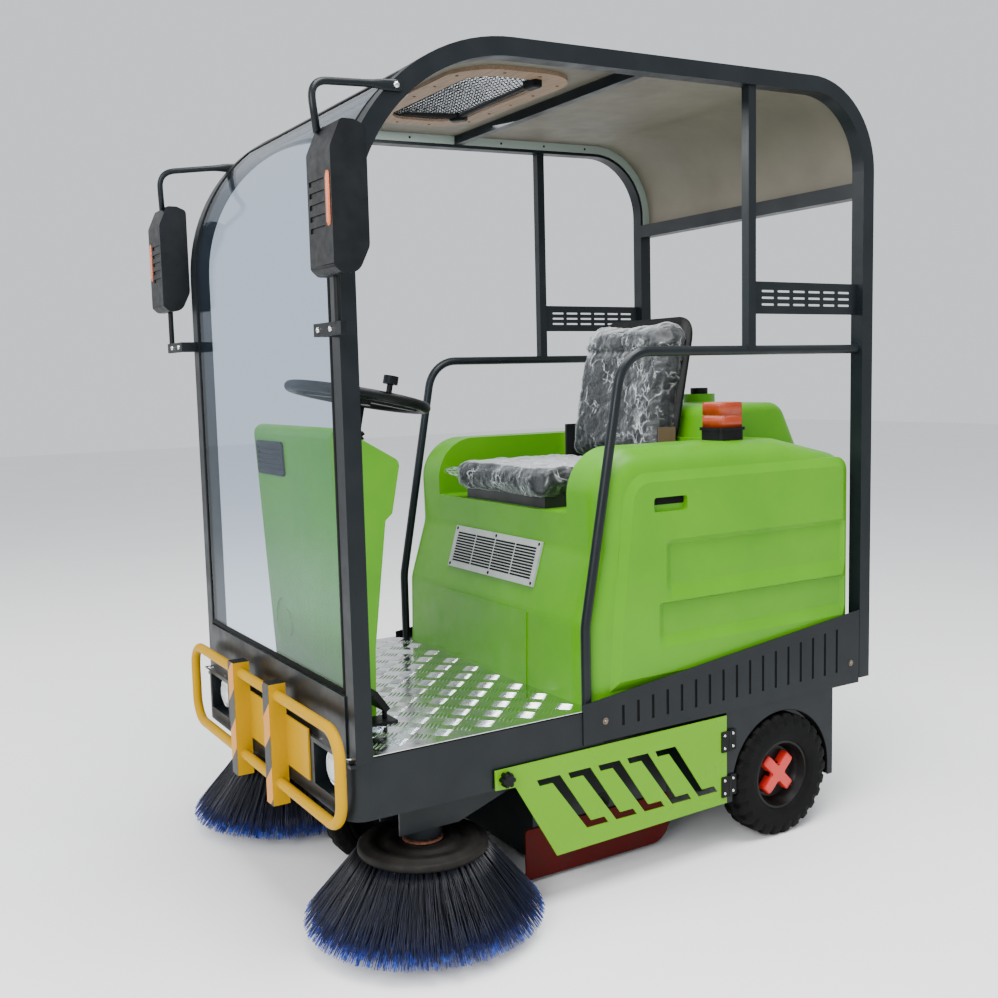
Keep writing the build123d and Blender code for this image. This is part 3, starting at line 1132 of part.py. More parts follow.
# ---------------------------------------------------------------- assembly
half, front, rear, top = BATTERY
PARTS = {
    "chassis_frame": chassis_frame(),
    "floor_plate": prism_z(band_plan(0.0), FLOOR_UNDER, FLOOR_Z) - hoops,
    "front_fascia": front_fascia(),
    "front_roof_bar": front_roof_bar,
    "roof_beam": roof_beam,
    "rear_roof_bar": rear_roof_bar,
    "roof_panel": roof_panel(),
    "hatch_ring": hatch_ring(),
    "hatch_screen": hatch_at * hatch_screen(),
    "hatch_cover": hatch_cover(),
    "windscreen": windscreen(),
    "console": console(),
    "console_vent": console_vent(),
    "steering_column": steering_column(),
    "steering_wheel": steering_wheel(),
    "brake_pedal": brake_pedal(),
    "rear_body": rear_body(),
    "tank_cap": rod((*NECK_AT, NECK_Z), (*NECK_AT, NECK_Z + CAP_H), CAP_R),
    "grille": grille(),
    "seat_base": seat_base(),
    "seat_cushion": seat_cushion(),
    "seat_back": seat_back(),
    "beacon_base": Pos(*BEACON_AT, WING_Z) * beacon_base(),
    "beacon_lens": Pos(*BEACON_AT, WING_Z + BEACON_BASE[1]) * beacon_lens(),
    "bumper_guard": bumper_guard(),
    "battery_block": box(-half, half, front, rear, FLOOR_Z, top),
    "broom_housing": broom_housing(),
    "roller_brush": roller_brush(),
    "dust_hopper": dust_hopper(),
    "front_fork": front_fork(),
    "front_tyre": front_tyre(),
    "front_rim": front_rim(),
}
PAIRS = {
    "cab_hoop": hoop,
    "side_frame": side_frame(),
    "mirror": mirror_piece(),
    "skirt": skirt(),
    "arch_panel": arch_panel(),
    "side_door": side_door(),
    "headlamp": headlamp(),
    "axle_bracket": axle_bracket(),
    "rear_tyre": rear_tyre(),
    "rear_rim": rear_rim(),
    "side_brush_arm": side_brush_arm(),
    "side_brush": side_brush(),
    "side_flap": side_flap(),
}
for name, shape in PAIRS.items():
    PARTS[name + "_left"] = shape
    PARTS[name + "_right"] = right(shape)

if __name__ == "__main__":
    os.makedirs("parts", exist_ok=True)
    for name, shape in PARTS.items():
        solids = shape.solids()
        export_step(solids[0] if len(solids) == 1 else Compound(solids), f"parts/{name}.step")
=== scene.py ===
"""Compact road sweeper: finishes and moulded, woven, bristled and padded pieces on the CAD frame, in metres."""

import json
from math import cos, pi, radians, sin

import bmesh
import bpy
import numpy as np
from bpy.props import FloatProperty, FloatVectorProperty, IntProperty, PointerProperty
from mathutils import Matrix, Vector


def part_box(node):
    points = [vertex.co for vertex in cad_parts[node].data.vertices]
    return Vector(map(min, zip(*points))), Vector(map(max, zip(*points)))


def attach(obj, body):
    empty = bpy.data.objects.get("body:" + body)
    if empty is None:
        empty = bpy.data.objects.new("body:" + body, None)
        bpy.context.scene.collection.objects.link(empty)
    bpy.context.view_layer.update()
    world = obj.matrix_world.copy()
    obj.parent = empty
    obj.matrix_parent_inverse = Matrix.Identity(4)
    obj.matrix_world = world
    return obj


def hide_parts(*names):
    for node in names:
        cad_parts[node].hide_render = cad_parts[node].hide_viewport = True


bl_info = {
    "name": "Compact road sweeper",
    "version": (1, 0, 0),
    "blender": (4, 5, 0),
    "location": "View3D > Sidebar > Sweeper",
    "description": "Builds the finishes, bristles, seat and trim of a ride-on road sweeper on its CAD frame",
    "category": "Add Mesh",
}

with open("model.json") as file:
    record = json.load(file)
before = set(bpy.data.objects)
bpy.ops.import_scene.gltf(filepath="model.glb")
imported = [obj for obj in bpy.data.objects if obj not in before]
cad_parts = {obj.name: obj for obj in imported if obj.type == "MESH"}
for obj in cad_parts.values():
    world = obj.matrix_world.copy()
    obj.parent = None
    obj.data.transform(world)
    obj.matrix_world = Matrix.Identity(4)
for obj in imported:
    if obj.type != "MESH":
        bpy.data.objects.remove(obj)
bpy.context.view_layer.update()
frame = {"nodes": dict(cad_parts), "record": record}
NODES = frame["nodes"]
MM = 0.001
SIDES = (("left", 1.0), ("right", -1.0))
FINISH = {}


# ---------------------------------------------------------------- colours and nodes
def colour(value):
    """Linear colour: a hex code goes through the inverse sRGB curve, a number is a grey, and a colour stays."""
    if isinstance(value, str):
        channels = [int(value[i:i + 2], 16) / 255.0 for i in (1, 3, 5)]
        return (*[c / 12.92 if c <= 0.04045 else ((c + 0.055) / 1.055) ** 2.4 for c in channels], 1.0)
    if isinstance(value, (int, float)):
        return (value, value, value, 1.0)
    return tuple(value)


def fit(tree, node, **settings):
    """Set a node's properties and inputs (i1 is input 1): a node or an output is linked, the rest are values."""
    for name, value in settings.items():
        if hasattr(node, name):
            setattr(node, name, value)
            continue
        socket = node.inputs[int(name[1:]) if name[1:].isdigit() else name.replace("_", " ")]
        if isinstance(value, bpy.types.Node):
            value = value.outputs[0]
        if isinstance(value, bpy.types.NodeSocket):
            tree.links.new(value, socket)
        else:
            socket.default_value = colour(value) if isinstance(value, str) else value
    return node


def add(tree, kind, stops=(), **settings):
    """Add a shader node with its settings and links, and its (position, colour) stops if it is a ramp."""
    node = tree.nodes.new(f"ShaderNode{kind}")
    if stops:
        elements = node.color_ramp.elements
        while len(elements) < len(stops):
            elements.new(0.5)
        for element, (position, value) in zip(elements, stops):
            element.position = position
            element.color = colour(value)
    return fit(tree, node, **settings)


def blank(name):
    """New material with its Principled shader and the object coordinates."""
    material = bpy.data.materials.new(name)
    material.use_nodes = True
    tree = material.node_tree
    return material, tree, tree.nodes["Principled BSDF"], add(tree, "TexCoord").outputs["Object"]


def patches(tree, place, size_mm, stops, detail=3.0, rough=0.55):
    """Colours or levels that drift in clouds of about a real size."""
    cloud = add(tree, "TexNoise", Vector=place, Scale=1.0 / (size_mm * MM), Detail=detail, Roughness=rough)
    return add(tree, "ValToRGB", stops, Fac=cloud)


def grain(tree, place, size_mm, deep_mm, strength, detail=2.0, rough=0.55, **below):
    """Relief of a real depth with grains of about a real size, over another relief if one is given."""
    height = add(tree, "TexNoise", Vector=place, Scale=1.0 / (size_mm * MM), Detail=detail, Roughness=rough)
    return add(tree, "Bump", Height=height, Strength=strength, Distance=deep_mm * MM, **below)


# ---------------------------------------------------------------- finishes
FOLDED_EDGE = 0.4515
TAPE_TURN = 154 * MM
TAPE_START = 0.328


def powder_coat(name, paint, dust, rough=0.42, shine=0.35):
    """Powder-coated steel, sprayed and baked: fine orange peel breaks its soft gloss, dust greys it in patches."""
    material, tree, shader, place = blank(name)
    dusty = patches(tree, place, 160, [(0.42, 0.0), (0.75, 0.35)], 5)
    fit(tree, shader, Specular_IOR_Level=shine,
        Base_Color=add(tree, "Mix", data_type="RGBA", i0=dusty, i6=paint, i7=dust).outputs[2],
        Roughness=patches(tree, place, 60, [(0.3, rough - 0.08), (0.7, rough + 0.1)]),
        Normal=grain(tree, place, 1.6, 0.05, 0.6))
    return material


def roof_enamel():
    """Beige enamel sprayed inside the roof, thin and cloudy, with a paler grey-green coat on the folded edges,
    lightened further as painted light against their shade.
    """
    material, tree, shader, place = blank("roof_enamel")
    cloud = patches(tree, place, 420, [(0.3, "#504a3f"), (0.7, "#645f51")], 4)
    reach = add(tree, "Math", operation="ABSOLUTE", i0=add(tree, "SeparateXYZ", Vector=place).outputs["X"])
    edge = add(tree, "Math", operation="GREATER_THAN", i0=reach, i1=FOLDED_EDGE)
    # Painted light: the folded edges take a paler grey-green coat of their own, lightened further against the shade
    # they sit in under the roof.
    fit(tree, shader, Base_Color=add(tree, "Mix", data_type="RGBA", i0=edge, i6=cloud, i7="#848f88").outputs[2],
        Roughness=patches(tree, place, 90, [(0.3, 0.5), (0.7, 0.66)]), Normal=grain(tree, place, 2.2, 0.04, 0.5))
    return material


def rotomoulded_polyethylene(dark, light):
    """Rotomoulded polyethylene, cast against a blasted mould: waxy satin with a faint pebble and paler scuffs."""
    material, tree, shader, place = blank("rotomoulded_polyethylene")
    cloud = patches(tree, place, 240, [(0.3, dark), (0.7, light)], 4)
    scuffs = patches(tree, place, 30, [(0.66, 0.0), (0.8, 0.35)], 6, 0.7)
    pebble = grain(tree, place, 2.4, 0.06, 0.5)
    fit(tree, shader, IOR=1.5, Specular_IOR_Level=0.3, Subsurface_Weight=0.04,
        Subsurface_Radius=(0.004, 0.008, 0.001),
        Base_Color=add(tree, "Mix", data_type="RGBA", i0=scuffs, i6=cloud, i7="#66a010").outputs[2],
        Roughness=patches(tree, place, 45, [(0.3, 0.34), (0.75, 0.5)]),
        Normal=grain(tree, place, 90, 1.2, 0.25, 1, Normal=pebble))
    return material


def chequer_aluminium():
    """Rolled aluminium tread plate: bright, streaked along the rolling direction, with scratches from boots."""
    material, tree, shader, place = blank("chequer_aluminium")
    stretch = add(tree, "Mapping", Vector=place, Scale=(1.0, 0.06, 1.0))
    rolled = add(tree, "TexNoise", Vector=stretch, Scale=1.0 / (1.2 * MM), Detail=3, Roughness=0.55)
    fit(tree, shader, Metallic=1.0,
        Base_Color=add(tree, "ValToRGB", [(0.3, "#c3c8c7"), (0.7, "#eceeee")], Fac=rolled),
        Roughness=patches(tree, place, 25, [(0.35, 0.12), (0.8, 0.28)], 6),
        Normal=add(tree, "Bump", Height=rolled, Strength=0.5, Distance=0.02 * MM))
    return material


def clear_glazing():
    """Clear PETG glazing, cold-bent into its frame: a faint blue cast, a mirror at a slant, and fine wipe marks."""
    material, tree, shader, place = blank("clear_glazing")
    fit(tree, shader, Base_Color="#f2f6fa", Metallic=1.0,
        Roughness=patches(tree, place, 120, [(0.4, 0.02), (0.8, 0.07)], 6, 0.7))
    clear = add(tree, "BsdfTransparent", Color="#ebf2fb")
    facing = add(tree, "LayerWeight", Blend=0.5).outputs["Facing"]
    share = add(tree, "ValToRGB", [(0.0, 0.01), (0.55, 0.025), (0.8, 0.15), (1.0, 0.7)], Fac=facing)
    fit(tree, tree.nodes["Material Output"], Surface=add(tree, "MixShader", i0=share, i1=clear, i2=shader))
    return material


def plywood():
    """Rotary-cut plywood, bare: long brown grain over pale wood, darker pores, and a faint satin."""
    material, tree, shader, place = blank("plywood")
    stretch = add(tree, "Mapping", Vector=place, Scale=(0.08, 1.0, 1.0))
    wood = add(tree, "TexNoise", Vector=stretch, Scale=1.0 / (5.0 * MM), Detail=6, Roughness=0.65)
    fit(tree, shader, Roughness=0.62,
        Base_Color=add(tree, "ValToRGB", [(0.3, "#5c4a3a"), (0.5, "#7b634d"), (0.72, "#89705a")], Fac=wood),
        Normal=add(tree, "Bump", Height=wood, Strength=0.4, Distance=0.15 * MM))
    return material


def bright_metal(name, dull, rough, shiny=0.75):
    """Plated or bare metal, polished: small changes of tint and gloss, as handled parts have."""
    material, tree, shader, place = blank(name)
    fit(tree, shader, Metallic=1.0, Base_Color=patches(tree, place, 18, [(0.3, dull), (0.8, shiny)], 4),
        Roughness=patches(tree, place, 7, [(0.3, rough * 0.7), (0.8, rough * 1.5)], 5),
        Normal=grain(tree, place, 0.8, 0.01, 0.5))
    return material


def moulded_plastic(name, dark, pale, rough=0.45):
    """Injection-moulded plastic with a spark-eroded grain that spreads its highlights."""
    material, tree, shader, place = blank(name)
    fit(tree, shader, Specular_IOR_Level=0.14,
        Base_Color=patches(tree, place, 50, [(0.35, dark), (0.85, pale)], 5),
        Roughness=patches(tree, place, 22, [(0.3, rough - 0.06), (0.7, rough + 0.1)]),
        Normal=grain(tree, place, 0.9, 0.05, 0.5))
    return material


def rubber(name, dark, dusty, grain_mm=3.0):
    """Vulcanised rubber: dull, a little pitted, with road dust held in its low places."""
    material, tree, shader, place = blank(name)
    dust = patches(tree, place, 35, [(0.45, 0.0), (0.8, 0.55)], 6, 0.65)
    fit(tree, shader, Roughness=0.72, Specular_IOR_Level=0.12,
        Base_Color=add(tree, "Mix", data_type="RGBA", i0=dust, i6=dark, i7=dusty).outputs[2],
        Normal=grain(tree, place, grain_mm, 0.12, 0.6, 4))
    return material


def nylon_bristle():
    """Extruded nylon monofilament: near black with a soft sheen, bright blue towards the cut tips."""
    material, tree, shader, place = blank("nylon_bristle")
    along = add(tree, "Attribute", attribute_name="along", attribute_type="GEOMETRY").outputs["Fac"]
    speck = add(tree, "TexNoise", Vector=place, Scale=1.0 / (14 * MM), Detail=3, Roughness=0.55)
    shift = add(tree, "Math", operation="MULTIPLY_ADD", i0=speck, i1=0.5, i2=-0.25)
    stops = [(0.0, "#05070f"), (0.6, "#080c1c"), (0.88, "#0c1333"), (0.965, "#14277c"), (1.0, "#2f55b8")]
    tip = add(tree, "ValToRGB", stops, Fac=add(tree, "Math", operation="ADD", i0=along, i1=shift))
    fit(tree, shader, Base_Color=tip, Roughness=0.38, Specular_IOR_Level=0.35)
    return material


def seat_vinyl():
    """Calendered vinyl over foam: embossed leather grain with a dull shine."""
    material, tree, shader, place = blank("seat_vinyl")
    cells = add(tree, "TexVoronoi", Vector=place, Scale=1.0 / (3.2 * MM), feature="DISTANCE_TO_EDGE")
    edge = add(tree, "ValToRGB", [(0.0, 0.0), (0.12, 1.0)], Fac=cells.outputs["Distance"])
    fit(tree, shader, Base_Color=patches(tree, place, 40, [(0.3, "#1d1f22"), (0.75, "#2b2e31")], 4), Roughness=0.5,
        Normal=add(tree, "Bump", Height=edge, Strength=0.5, Distance=0.25 * MM))
    return material


def wrapping_film():
    """Blown polyethylene film, thin and clear: it shows by its gloss, brightest along its sharp crease lines, where
    white lines in islands are painted highlights.
    """
    material, tree, shader, place = blank("wrapping_film")
    shift = add(tree, "TexNoise", Vector=place, Scale=1.0 / (60 * MM), Detail=3.0).outputs["Color"]
    bent = add(tree, "VectorMath", operation="MULTIPLY_ADD", i0=shift, i1=(0.05, 0.05, 0.05), i2=place)
    pull = add(tree, "Mapping", Vector=bent, Rotation=(0.4, 0.7, 0.5), Scale=(1.0, 0.4, 0.8))
    crease_and_highlight_lines = []
    # Painted highlights: white lines along the cell edges, shown in islands, which also raise the relief of the
    # crease lines.
    for size_mm, thin, patch_mm in ((38, 0.045, 90), (17, 0.06, 50)):
        cells = add(tree, "TexVoronoi", Vector=pull, Scale=1.0 / (size_mm * MM), feature="DISTANCE_TO_EDGE")
        ridge_highlight = add(tree, "ValToRGB", [(0.0, 0.62), (thin, 0.07), (0.16, 0.0)], Fac=cells.outputs["Distance"])
        highlight_islands = patches(tree, place, patch_mm, [(0.54, 0.02), (0.68, 1.0)], 4)
        crease_and_highlight_lines.append(add(tree, "Math", operation="MULTIPLY", i0=ridge_highlight, i1=highlight_islands))
    relief_and_highlights = add(tree, "Math", operation="MAXIMUM", i0=crease_and_highlight_lines[1], i1=crease_and_highlight_lines[0])
    folds = grain(tree, pull, 34, 6.0, 0.8, 6, 0.6)
    relief = add(tree, "Bump", Height=relief_and_highlights, Strength=0.8, Distance=3.0 * MM, Normal=folds)
    gloss = add(tree, "ValToRGB", [(0.05, 0.015), (0.7, 0.85)], Fac=add(tree, "Fresnel", IOR=1.5, Normal=relief))
    # The white film shows where the alpha rises: at a slant by its gloss, and along the painted highlight lines.
    fit(tree, shader, Base_Color="#eef2f5", Normal=relief,
        Alpha=add(tree, "Math", operation="ADD", use_clamp=True, i0=gloss, i1=relief_and_highlights),
        Roughness=patches(tree, place, 9, [(0.3, 0.05), (0.8, 0.2)]))
    return material


def amber_acrylic():
    """Injection-moulded amber acrylic: clear orange, glowing where light comes through."""
    material, tree, shader, place = blank("amber_acrylic")
    fit(tree, shader, Base_Color=patches(tree, place, 30, [(0.3, "#982e02"), (0.8, "#ac3e08")]), Roughness=0.18,
        Transmission_Weight=0.2, IOR=1.49)
    return material


def lamp_glass():
    """Pressed lamp glass over a silvered bowl: clear, bright, with flutes across it."""
    material, tree, shader, place = blank("lamp_glass")
    flutes = add(tree, "TexWave", Vector=place, Scale=1.0 / (9.0 * MM), Distortion=0.4).outputs["Fac"]
    fit(tree, shader, Base_Color="#dfe3e4", Roughness=0.12, Metallic=0.55,
        Normal=add(tree, "Bump", Height=flutes, Strength=0.6, Distance=0.8 * MM))
    return material


def hazard_tape():
    """Hazard tape: orange-yellow and black bands 77 mm high, leaning at 45 degrees, with a soft gloss."""
    material, tree, shader, place = blank("hazard_tape")
    split = add(tree, "SeparateXYZ", Vector=place)
    lean = add(tree, "Math", operation="SUBTRACT", i0=split.outputs["X"], i1=split.outputs["Z"])
    turn = add(tree, "Math", operation="MULTIPLY_ADD", i0=lean, i1=1.0 / TAPE_TURN, i2=TAPE_START)
    band = add(tree, "ValToRGB", [(0.49, 0.0), (0.51, 1.0)], Fac=add(tree, "Math", operation="FRACT", i0=turn))
    yellow = patches(tree, place, 40, [(0.3, "#bd7608"), (0.8, "#cc860c")], 4)
    fit(tree, shader, Roughness=0.33, Specular_IOR_Level=0.15, Normal=grain(tree, place, 2.0, 0.05, 0.5),
        Base_Color=add(tree, "Mix", data_type="RGBA", i0=band, i6=yellow, i7="#121314").outputs[2])
    return material


def rusted_steel():
    """Bare steel left in the wet: orange-brown rust with dark scale, rough and matt."""
    material, tree, shader, place = blank("rusted_steel")
    fit(tree, shader, Roughness=0.85, Normal=grain(tree, place, 2.0, 0.4, 0.8, 5),
        Base_Color=patches(tree, place, 9, [(0.3, "#1f1714"), (0.52, "#5a2f1a"), (0.72, "#8c4a22")], 8, 0.7))
    return material


def orange_reflector():
    """Moulded acrylic reflector: orange, glossy, over rows of fine prisms."""
    material, tree, shader, place = blank("orange_reflector")
    prisms = add(tree, "TexVoronoi", Vector=place, Scale=1.0 / (3.0 * MM)).outputs["Distance"]
    fit(tree, shader, Base_Color=add(tree, "ValToRGB", [(0.0, "#9a4a1e"), (0.7, "#c8622a")], Fac=prisms),
        Roughness=0.2, Normal=add(tree, "Bump", Height=prisms, Strength=0.5, Distance=0.3 * MM))
    return material


def mirror_glass():
    """Silvered glass: an almost perfect reflection with faint wipe marks."""
    material, tree, shader, place = blank("mirror_glass")
    fit(tree, shader, Base_Color="#d5dadc", Metallic=1.0,
        Roughness=patches(tree, place, 60, [(0.4, 0.015), (0.8, 0.05)], 5))
    return material


def opal_acrylic():
    """Opal acrylic lid: milky white, letting daylight through to the screen below."""
    material, tree, shader, place = blank("opal_acrylic")
    fit(tree, shader, Base_Color="#eef1f3", Roughness=patches(tree, place, 60, [(0.3, 0.25), (0.7, 0.4)], 4))
    glow = add(tree, "BsdfTranslucent", Color="#f6f8fa")
    fit(tree, tree.nodes["Material Output"], Surface=add(tree, "MixShader", i0=0.7, i1=shader, i2=glow))
    return material


def grille_enamel():
    """Silver-grey enamel sprayed on the grille, a little cloudy, with a soft shine."""
    material, tree, shader, place = blank("grille_enamel")
    fit(tree, shader, Base_Color=patches(tree, place, 40, [(0.3, "#949896"), (0.7, "#a3a7a5")], 4), Roughness=0.42,
        Specular_IOR_Level=0.3, Normal=grain(tree, place, 1.6, 0.04, 0.5))
    return material


def studio_paper():
    """Matt paper sweep, almost white, with a very faint cloud."""
    material, tree, shader, place = blank("studio_paper")
    fit(tree, shader, Base_Color=patches(tree, place, 900, [(0.2, 0.86), (0.8, 0.9)], 2), Roughness=0.9)
    return material


def make_finishes(settings):
    """All finishes by the record's material slot, then those of the small pieces."""
    return {
        "frame_paint": powder_coat("slate_powder_coat", settings.frame_slate, "#1e2324", 0.36, 0.2),
        "floor_aluminium": chequer_aluminium(),
        "roof_paint": roof_enamel(),
        "plywood": plywood(),
        "screen_metal": bright_metal("woven_steel", "#d2d4d4", 0.35),
        "clear_sheet": clear_glazing(),
        "body_green": rotomoulded_polyethylene(settings.body_dark, settings.body_light),
        "door_green": powder_coat("door_enamel", settings.door_green, "#669c0c", 0.32, 0.2),
        "bright_metal": bright_metal("chrome_plate", "#c9cccd", 0.14),
        "grille_metal": grille_enamel(),
        "black_rubber": rubber("bellows_rubber", "#070708", "#131312"),
        "black_plastic": moulded_plastic("black_polypropylene", "#070808", "#101213"),
        "seat_metal": powder_coat("seat_frame_enamel", "#17181a", "#2a2826"),
        "seat_vinyl": seat_vinyl(),
        "amber_lens": amber_acrylic(),
        "guard_yellow": powder_coat("guard_enamel", settings.guard_yellow, "#a47a00", 0.34, 0.05),
        "battery_case": moulded_plastic("battery_case", "#121416", "#1d2022"),
        "bristle": nylon_bristle(),
        "tyre": rubber("tyre_rubber", "#050605", "#11110f", 5.0),
        "rim_metal": powder_coat("rim_enamel", "#050606", "#10100f", 0.4, 0.2),
        "lamp_glass": lamp_glass(),
        "red_rubber": rubber("red_rubber", "#4a0e0c", "#33211c"),
        "clamp_red": powder_coat("clamp_enamel", "#c3241c", "#a63a2c", 0.35, 0.5),
        "rust": rusted_steel(),
        "zinc": bright_metal("yellow_zinc_plate", "#6e5c40", 0.35, 0.2),
        "tan_enamel": powder_coat("bracket_enamel", "#5d4a38", "#6f6150", 0.5),
        "dusty_plastic": moulded_plastic("dusty_plastic", "#100f0e", "#211e1a", 0.6),
        "reflector": orange_reflector(),
        "mirror_glass": mirror_glass(),
        "hazard": hazard_tape(),
        "opal": opal_acrylic(),
        "mirror_case": moulded_plastic("mirror_polypropylene", "#0f1113", "#191c1e"),
        "wire": powder_coat("wire_enamel", "#131517", "#1d1f21", 0.5, 0.12),
        "film": wrapping_film(),
    }


# ---------------------------------------------------------------- mesh tools
def new_object(name, data):
    """Object with its data, in the scene's collection."""
    obj = bpy.data.objects.new(name, data)
    bpy.context.scene.collection.objects.link(obj)
    return obj


def dress(obj, body, slot_name, finish=None, smooth=None):
    """Give an object its slot's finish or one of its own, let it ride on a body, and set its shading if asked."""
    obj.data.materials.clear()
    obj.data.materials.append(FINISH[finish or slot_name])
    if smooth is not None:
        obj.data.polygons.foreach_set("use_smooth", [smooth] * len(obj.data.polygons))
    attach(obj, body)


def piece(name, shape, body, slot_name, smooth=True, finish=None):
    """Mesh object from a shape: its array of points, and its faces as an array or a list."""
    points, faces = shape
    mesh = bpy.data.meshes.new(name)
    points = np.asarray(points, float).reshape(-1, 3)
    mesh.from_pydata(points.tolist(), [], faces if isinstance(faces, list) else faces.tolist())
    mesh.validate()
    obj = new_object(name, mesh)
    dress(obj, body, slot_name, finish, smooth)
    return obj


def grid_faces(rows, columns, wrap_rows=False, wrap_columns=False):
    """Quads of a grid of points numbered row by row, closed on either side if it wraps."""
    r = np.arange(rows if wrap_rows else rows - 1)
    c = np.arange(columns if wrap_columns else columns - 1)
    r, c = np.meshgrid(r, c, indexing="ij")
    rn = (r + 1) % rows
    cn = (c + 1) % columns
    quads = np.stack([r * columns + c, r * columns + cn, rn * columns + cn, rn * columns + c], -1)
    return quads.reshape(-1, 4)


def camera_frame():
    """Placement of the camera: azimuth, pitch and roll in degrees, and its point in metres."""
    azimuth, pitch, roll = radians(58.5575), radians(-6.1202), radians(-1.4016)
    view = Vector((-sin(azimuth) * cos(pitch), cos(azimuth) * cos(pitch), sin(pitch)))
    flat = Vector((cos(azimuth), sin(azimuth), 0.0))
    high = flat.cross(view)
    side = cos(roll) * flat + sin(roll) * high
    up = -sin(roll) * flat + cos(roll) * high
    place = Vector((2.6306, -1.6845, 1.2466))
    return Matrix((
        (side.x, up.x, -view.x, place.x),
        (side.y, up.y, -view.y, place.y),
        (side.z, up.z, -view.z, place.z),
        (0.0, 0.0, 0.0, 1.0),
    ))


# ---------------------------------------------------------------- settings
class SweeperSettings(bpy.types.PropertyGroup):
    """Colours, lights and amounts a user would change."""

    frame_slate: FloatVectorProperty(name="Frame colour", description="Slate coat of the cab frame",
                                     default=colour("#101518"), subtype="COLOR", size=4, min=0.0, max=1.0)
    body_dark: FloatVectorProperty(name="Body colour, dark", description="Darker green of the moulded body",
                                   default=colour("#448600"), subtype="COLOR", size=4, min=0.0, max=1.0)
    body_light: FloatVectorProperty(name="Body colour, light", description="Lighter green of the moulded body",
                                    default=colour("#4e9000"), subtype="COLOR", size=4, min=0.0, max=1.0)
    door_green: FloatVectorProperty(name="Door colour", description="Green enamel of the side doors",
                                    default=colour("#5a9400"), subtype="COLOR", size=4, min=0.0, max=1.0)
    guard_yellow: FloatVectorProperty(name="Guard colour", description="Yellow enamel of the front guard",
                                      default=colour("#b08600"), subtype="COLOR", size=4, min=0.0, max=1.0)
    focal_length: FloatProperty(name="Focal length", description="Lens of the view", default=40.94, unit="CAMERA")
    floor_size: FloatProperty(name="Floor size", description="Side of the studio floor", default=40.0,
                              unit="LENGTH")
    key_power: FloatProperty(name="Key light", description="Power of the main soft light", default=300.0)
    fill_power: FloatProperty(name="Fill light", description="Power of the fill light", default=100.0)
    top_power: FloatProperty(name="Top light", description="Power of the light overhead", default=430.0)
    cab_power: FloatProperty(name="Cab light", description="Power of the soft light under the roof", default=18.0)
    bristles: IntProperty(name="Bristles", description="Bristles of a side brush", default=5200, min=100)


OWN_FINISH = {"hatch_cover": "opal", "console_vent": "black_plastic"}
LIGHTS_AIM = (0.0, 0.0, 0.8)


class SWEEPER_OT_finishes(bpy.types.Operator):
    """Give every CAD node the finish of its material slot"""

    bl_idname = "sweeper.finishes"
    bl_label = "Finishes"

    def execute(self, context):
        FINISH.update(make_finishes(context.scene.sweeper))
        for row in frame["record"]["subparts"]:
            mesh = NODES[row["node"]].data
            mesh.materials.clear()
            mesh.materials.append(FINISH[OWN_FINISH.get(row["node"], row["material_slot"])])
        return {"FINISHED"}


class SWEEPER_OT_stage(bpy.types.Operator):
    """Pale floor, soft lights and the camera"""

    bl_idname = "sweeper.stage"
    bl_label = "Stage"

    def execute(self, context):
        settings = context.scene.sweeper
        half = settings.floor_size / 2
        mesh = bpy.data.meshes.new("studio_floor")
        corners = [(-half, -half, 0), (half, -half, 0), (half, half, 0), (-half, half, 0)]
        mesh.from_pydata(corners, [], [(0, 1, 2, 3)])
        mesh.materials.append(studio_paper())
        new_object("studio_floor", mesh)
        world = bpy.data.worlds.new("studio")
        world.use_nodes = True
        fit(world.node_tree, world.node_tree.nodes["Background"], Color=(0.93, 0.96, 1.0, 1.0), Strength=0.95)
        context.scene.world = world
        for name, at, size, power in (
            ("key_light", (3.0, -4.4, 3.2), 2.6, settings.key_power),
            ("fill_light", (-3.6, -4.0, 3.2), 3.5, settings.fill_power),
            ("cab_light", (0.1, -0.05, 1.93), 0.7, settings.cab_power),
            ("top_light", (1.5, 0.0, 5.4), 3.0, settings.top_power),
        ):
            light = bpy.data.lights.new(name, "AREA")
            light.energy = power
            light.size = size
            lamp = new_object(name, light)
            lamp.location = at
            lamp.rotation_euler = (Vector(LIGHTS_AIM) - Vector(at)).to_track_quat("-Z", "Y").to_euler()
            lamp.visible_camera = False
        lens = bpy.data.cameras.new("camera")
        lens.lens = settings.focal_length
        lens.sensor_width = 36.0
        camera = new_object("camera", lens)
        camera.matrix_world = camera_frame()
        context.scene.camera = camera
        return {"FINISHED"}


def around(lines):
    """Two unit directions square to each line, for a stack of unit lines."""
    helper = np.where(np.abs(lines[:, 2:3]) < 0.9, [[0.0, 0.0, 1.0]], [[1.0, 0.0, 0.0]])
    u = np.cross(helper, lines)
    u /= np.linalg.norm(u, axis=1, keepdims=True)
    return u, np.cross(lines, u)


def studs(spots, normals, profile, sides):
    """Small turned heads: a profile of (radius, height) in mm goes round the normal of each spot, flat on top."""
    spots = np.asarray(spots, float).reshape(-1, 3)
    normals = np.broadcast_to(np.asarray(normals, float), spots.shape)
    u, v = around(normals)
    angle = 2 * pi * np.arange(sides) / sides
    ring = np.cos(angle)[None, :, None] * u[:, None] + np.sin(angle)[None, :, None] * v[:, None]
    radius, height = np.array(profile).T * MM
    points = (spots[:, None, None] + radius[None, :, None, None] * ring[:, None]
              + height[None, :, None, None] * normals[:, None, None])
    size = len(profile) * sides
    start = np.arange(len(spots)) * size
    quads = (grid_faces(len(profile), sides, wrap_columns=True)[None] + start[:, None, None]).reshape(-1, 4)
    top = np.arange(size - sides, size)[None] + start[:, None]
    return points.reshape(-1, 3), quads.tolist() + top.tolist()


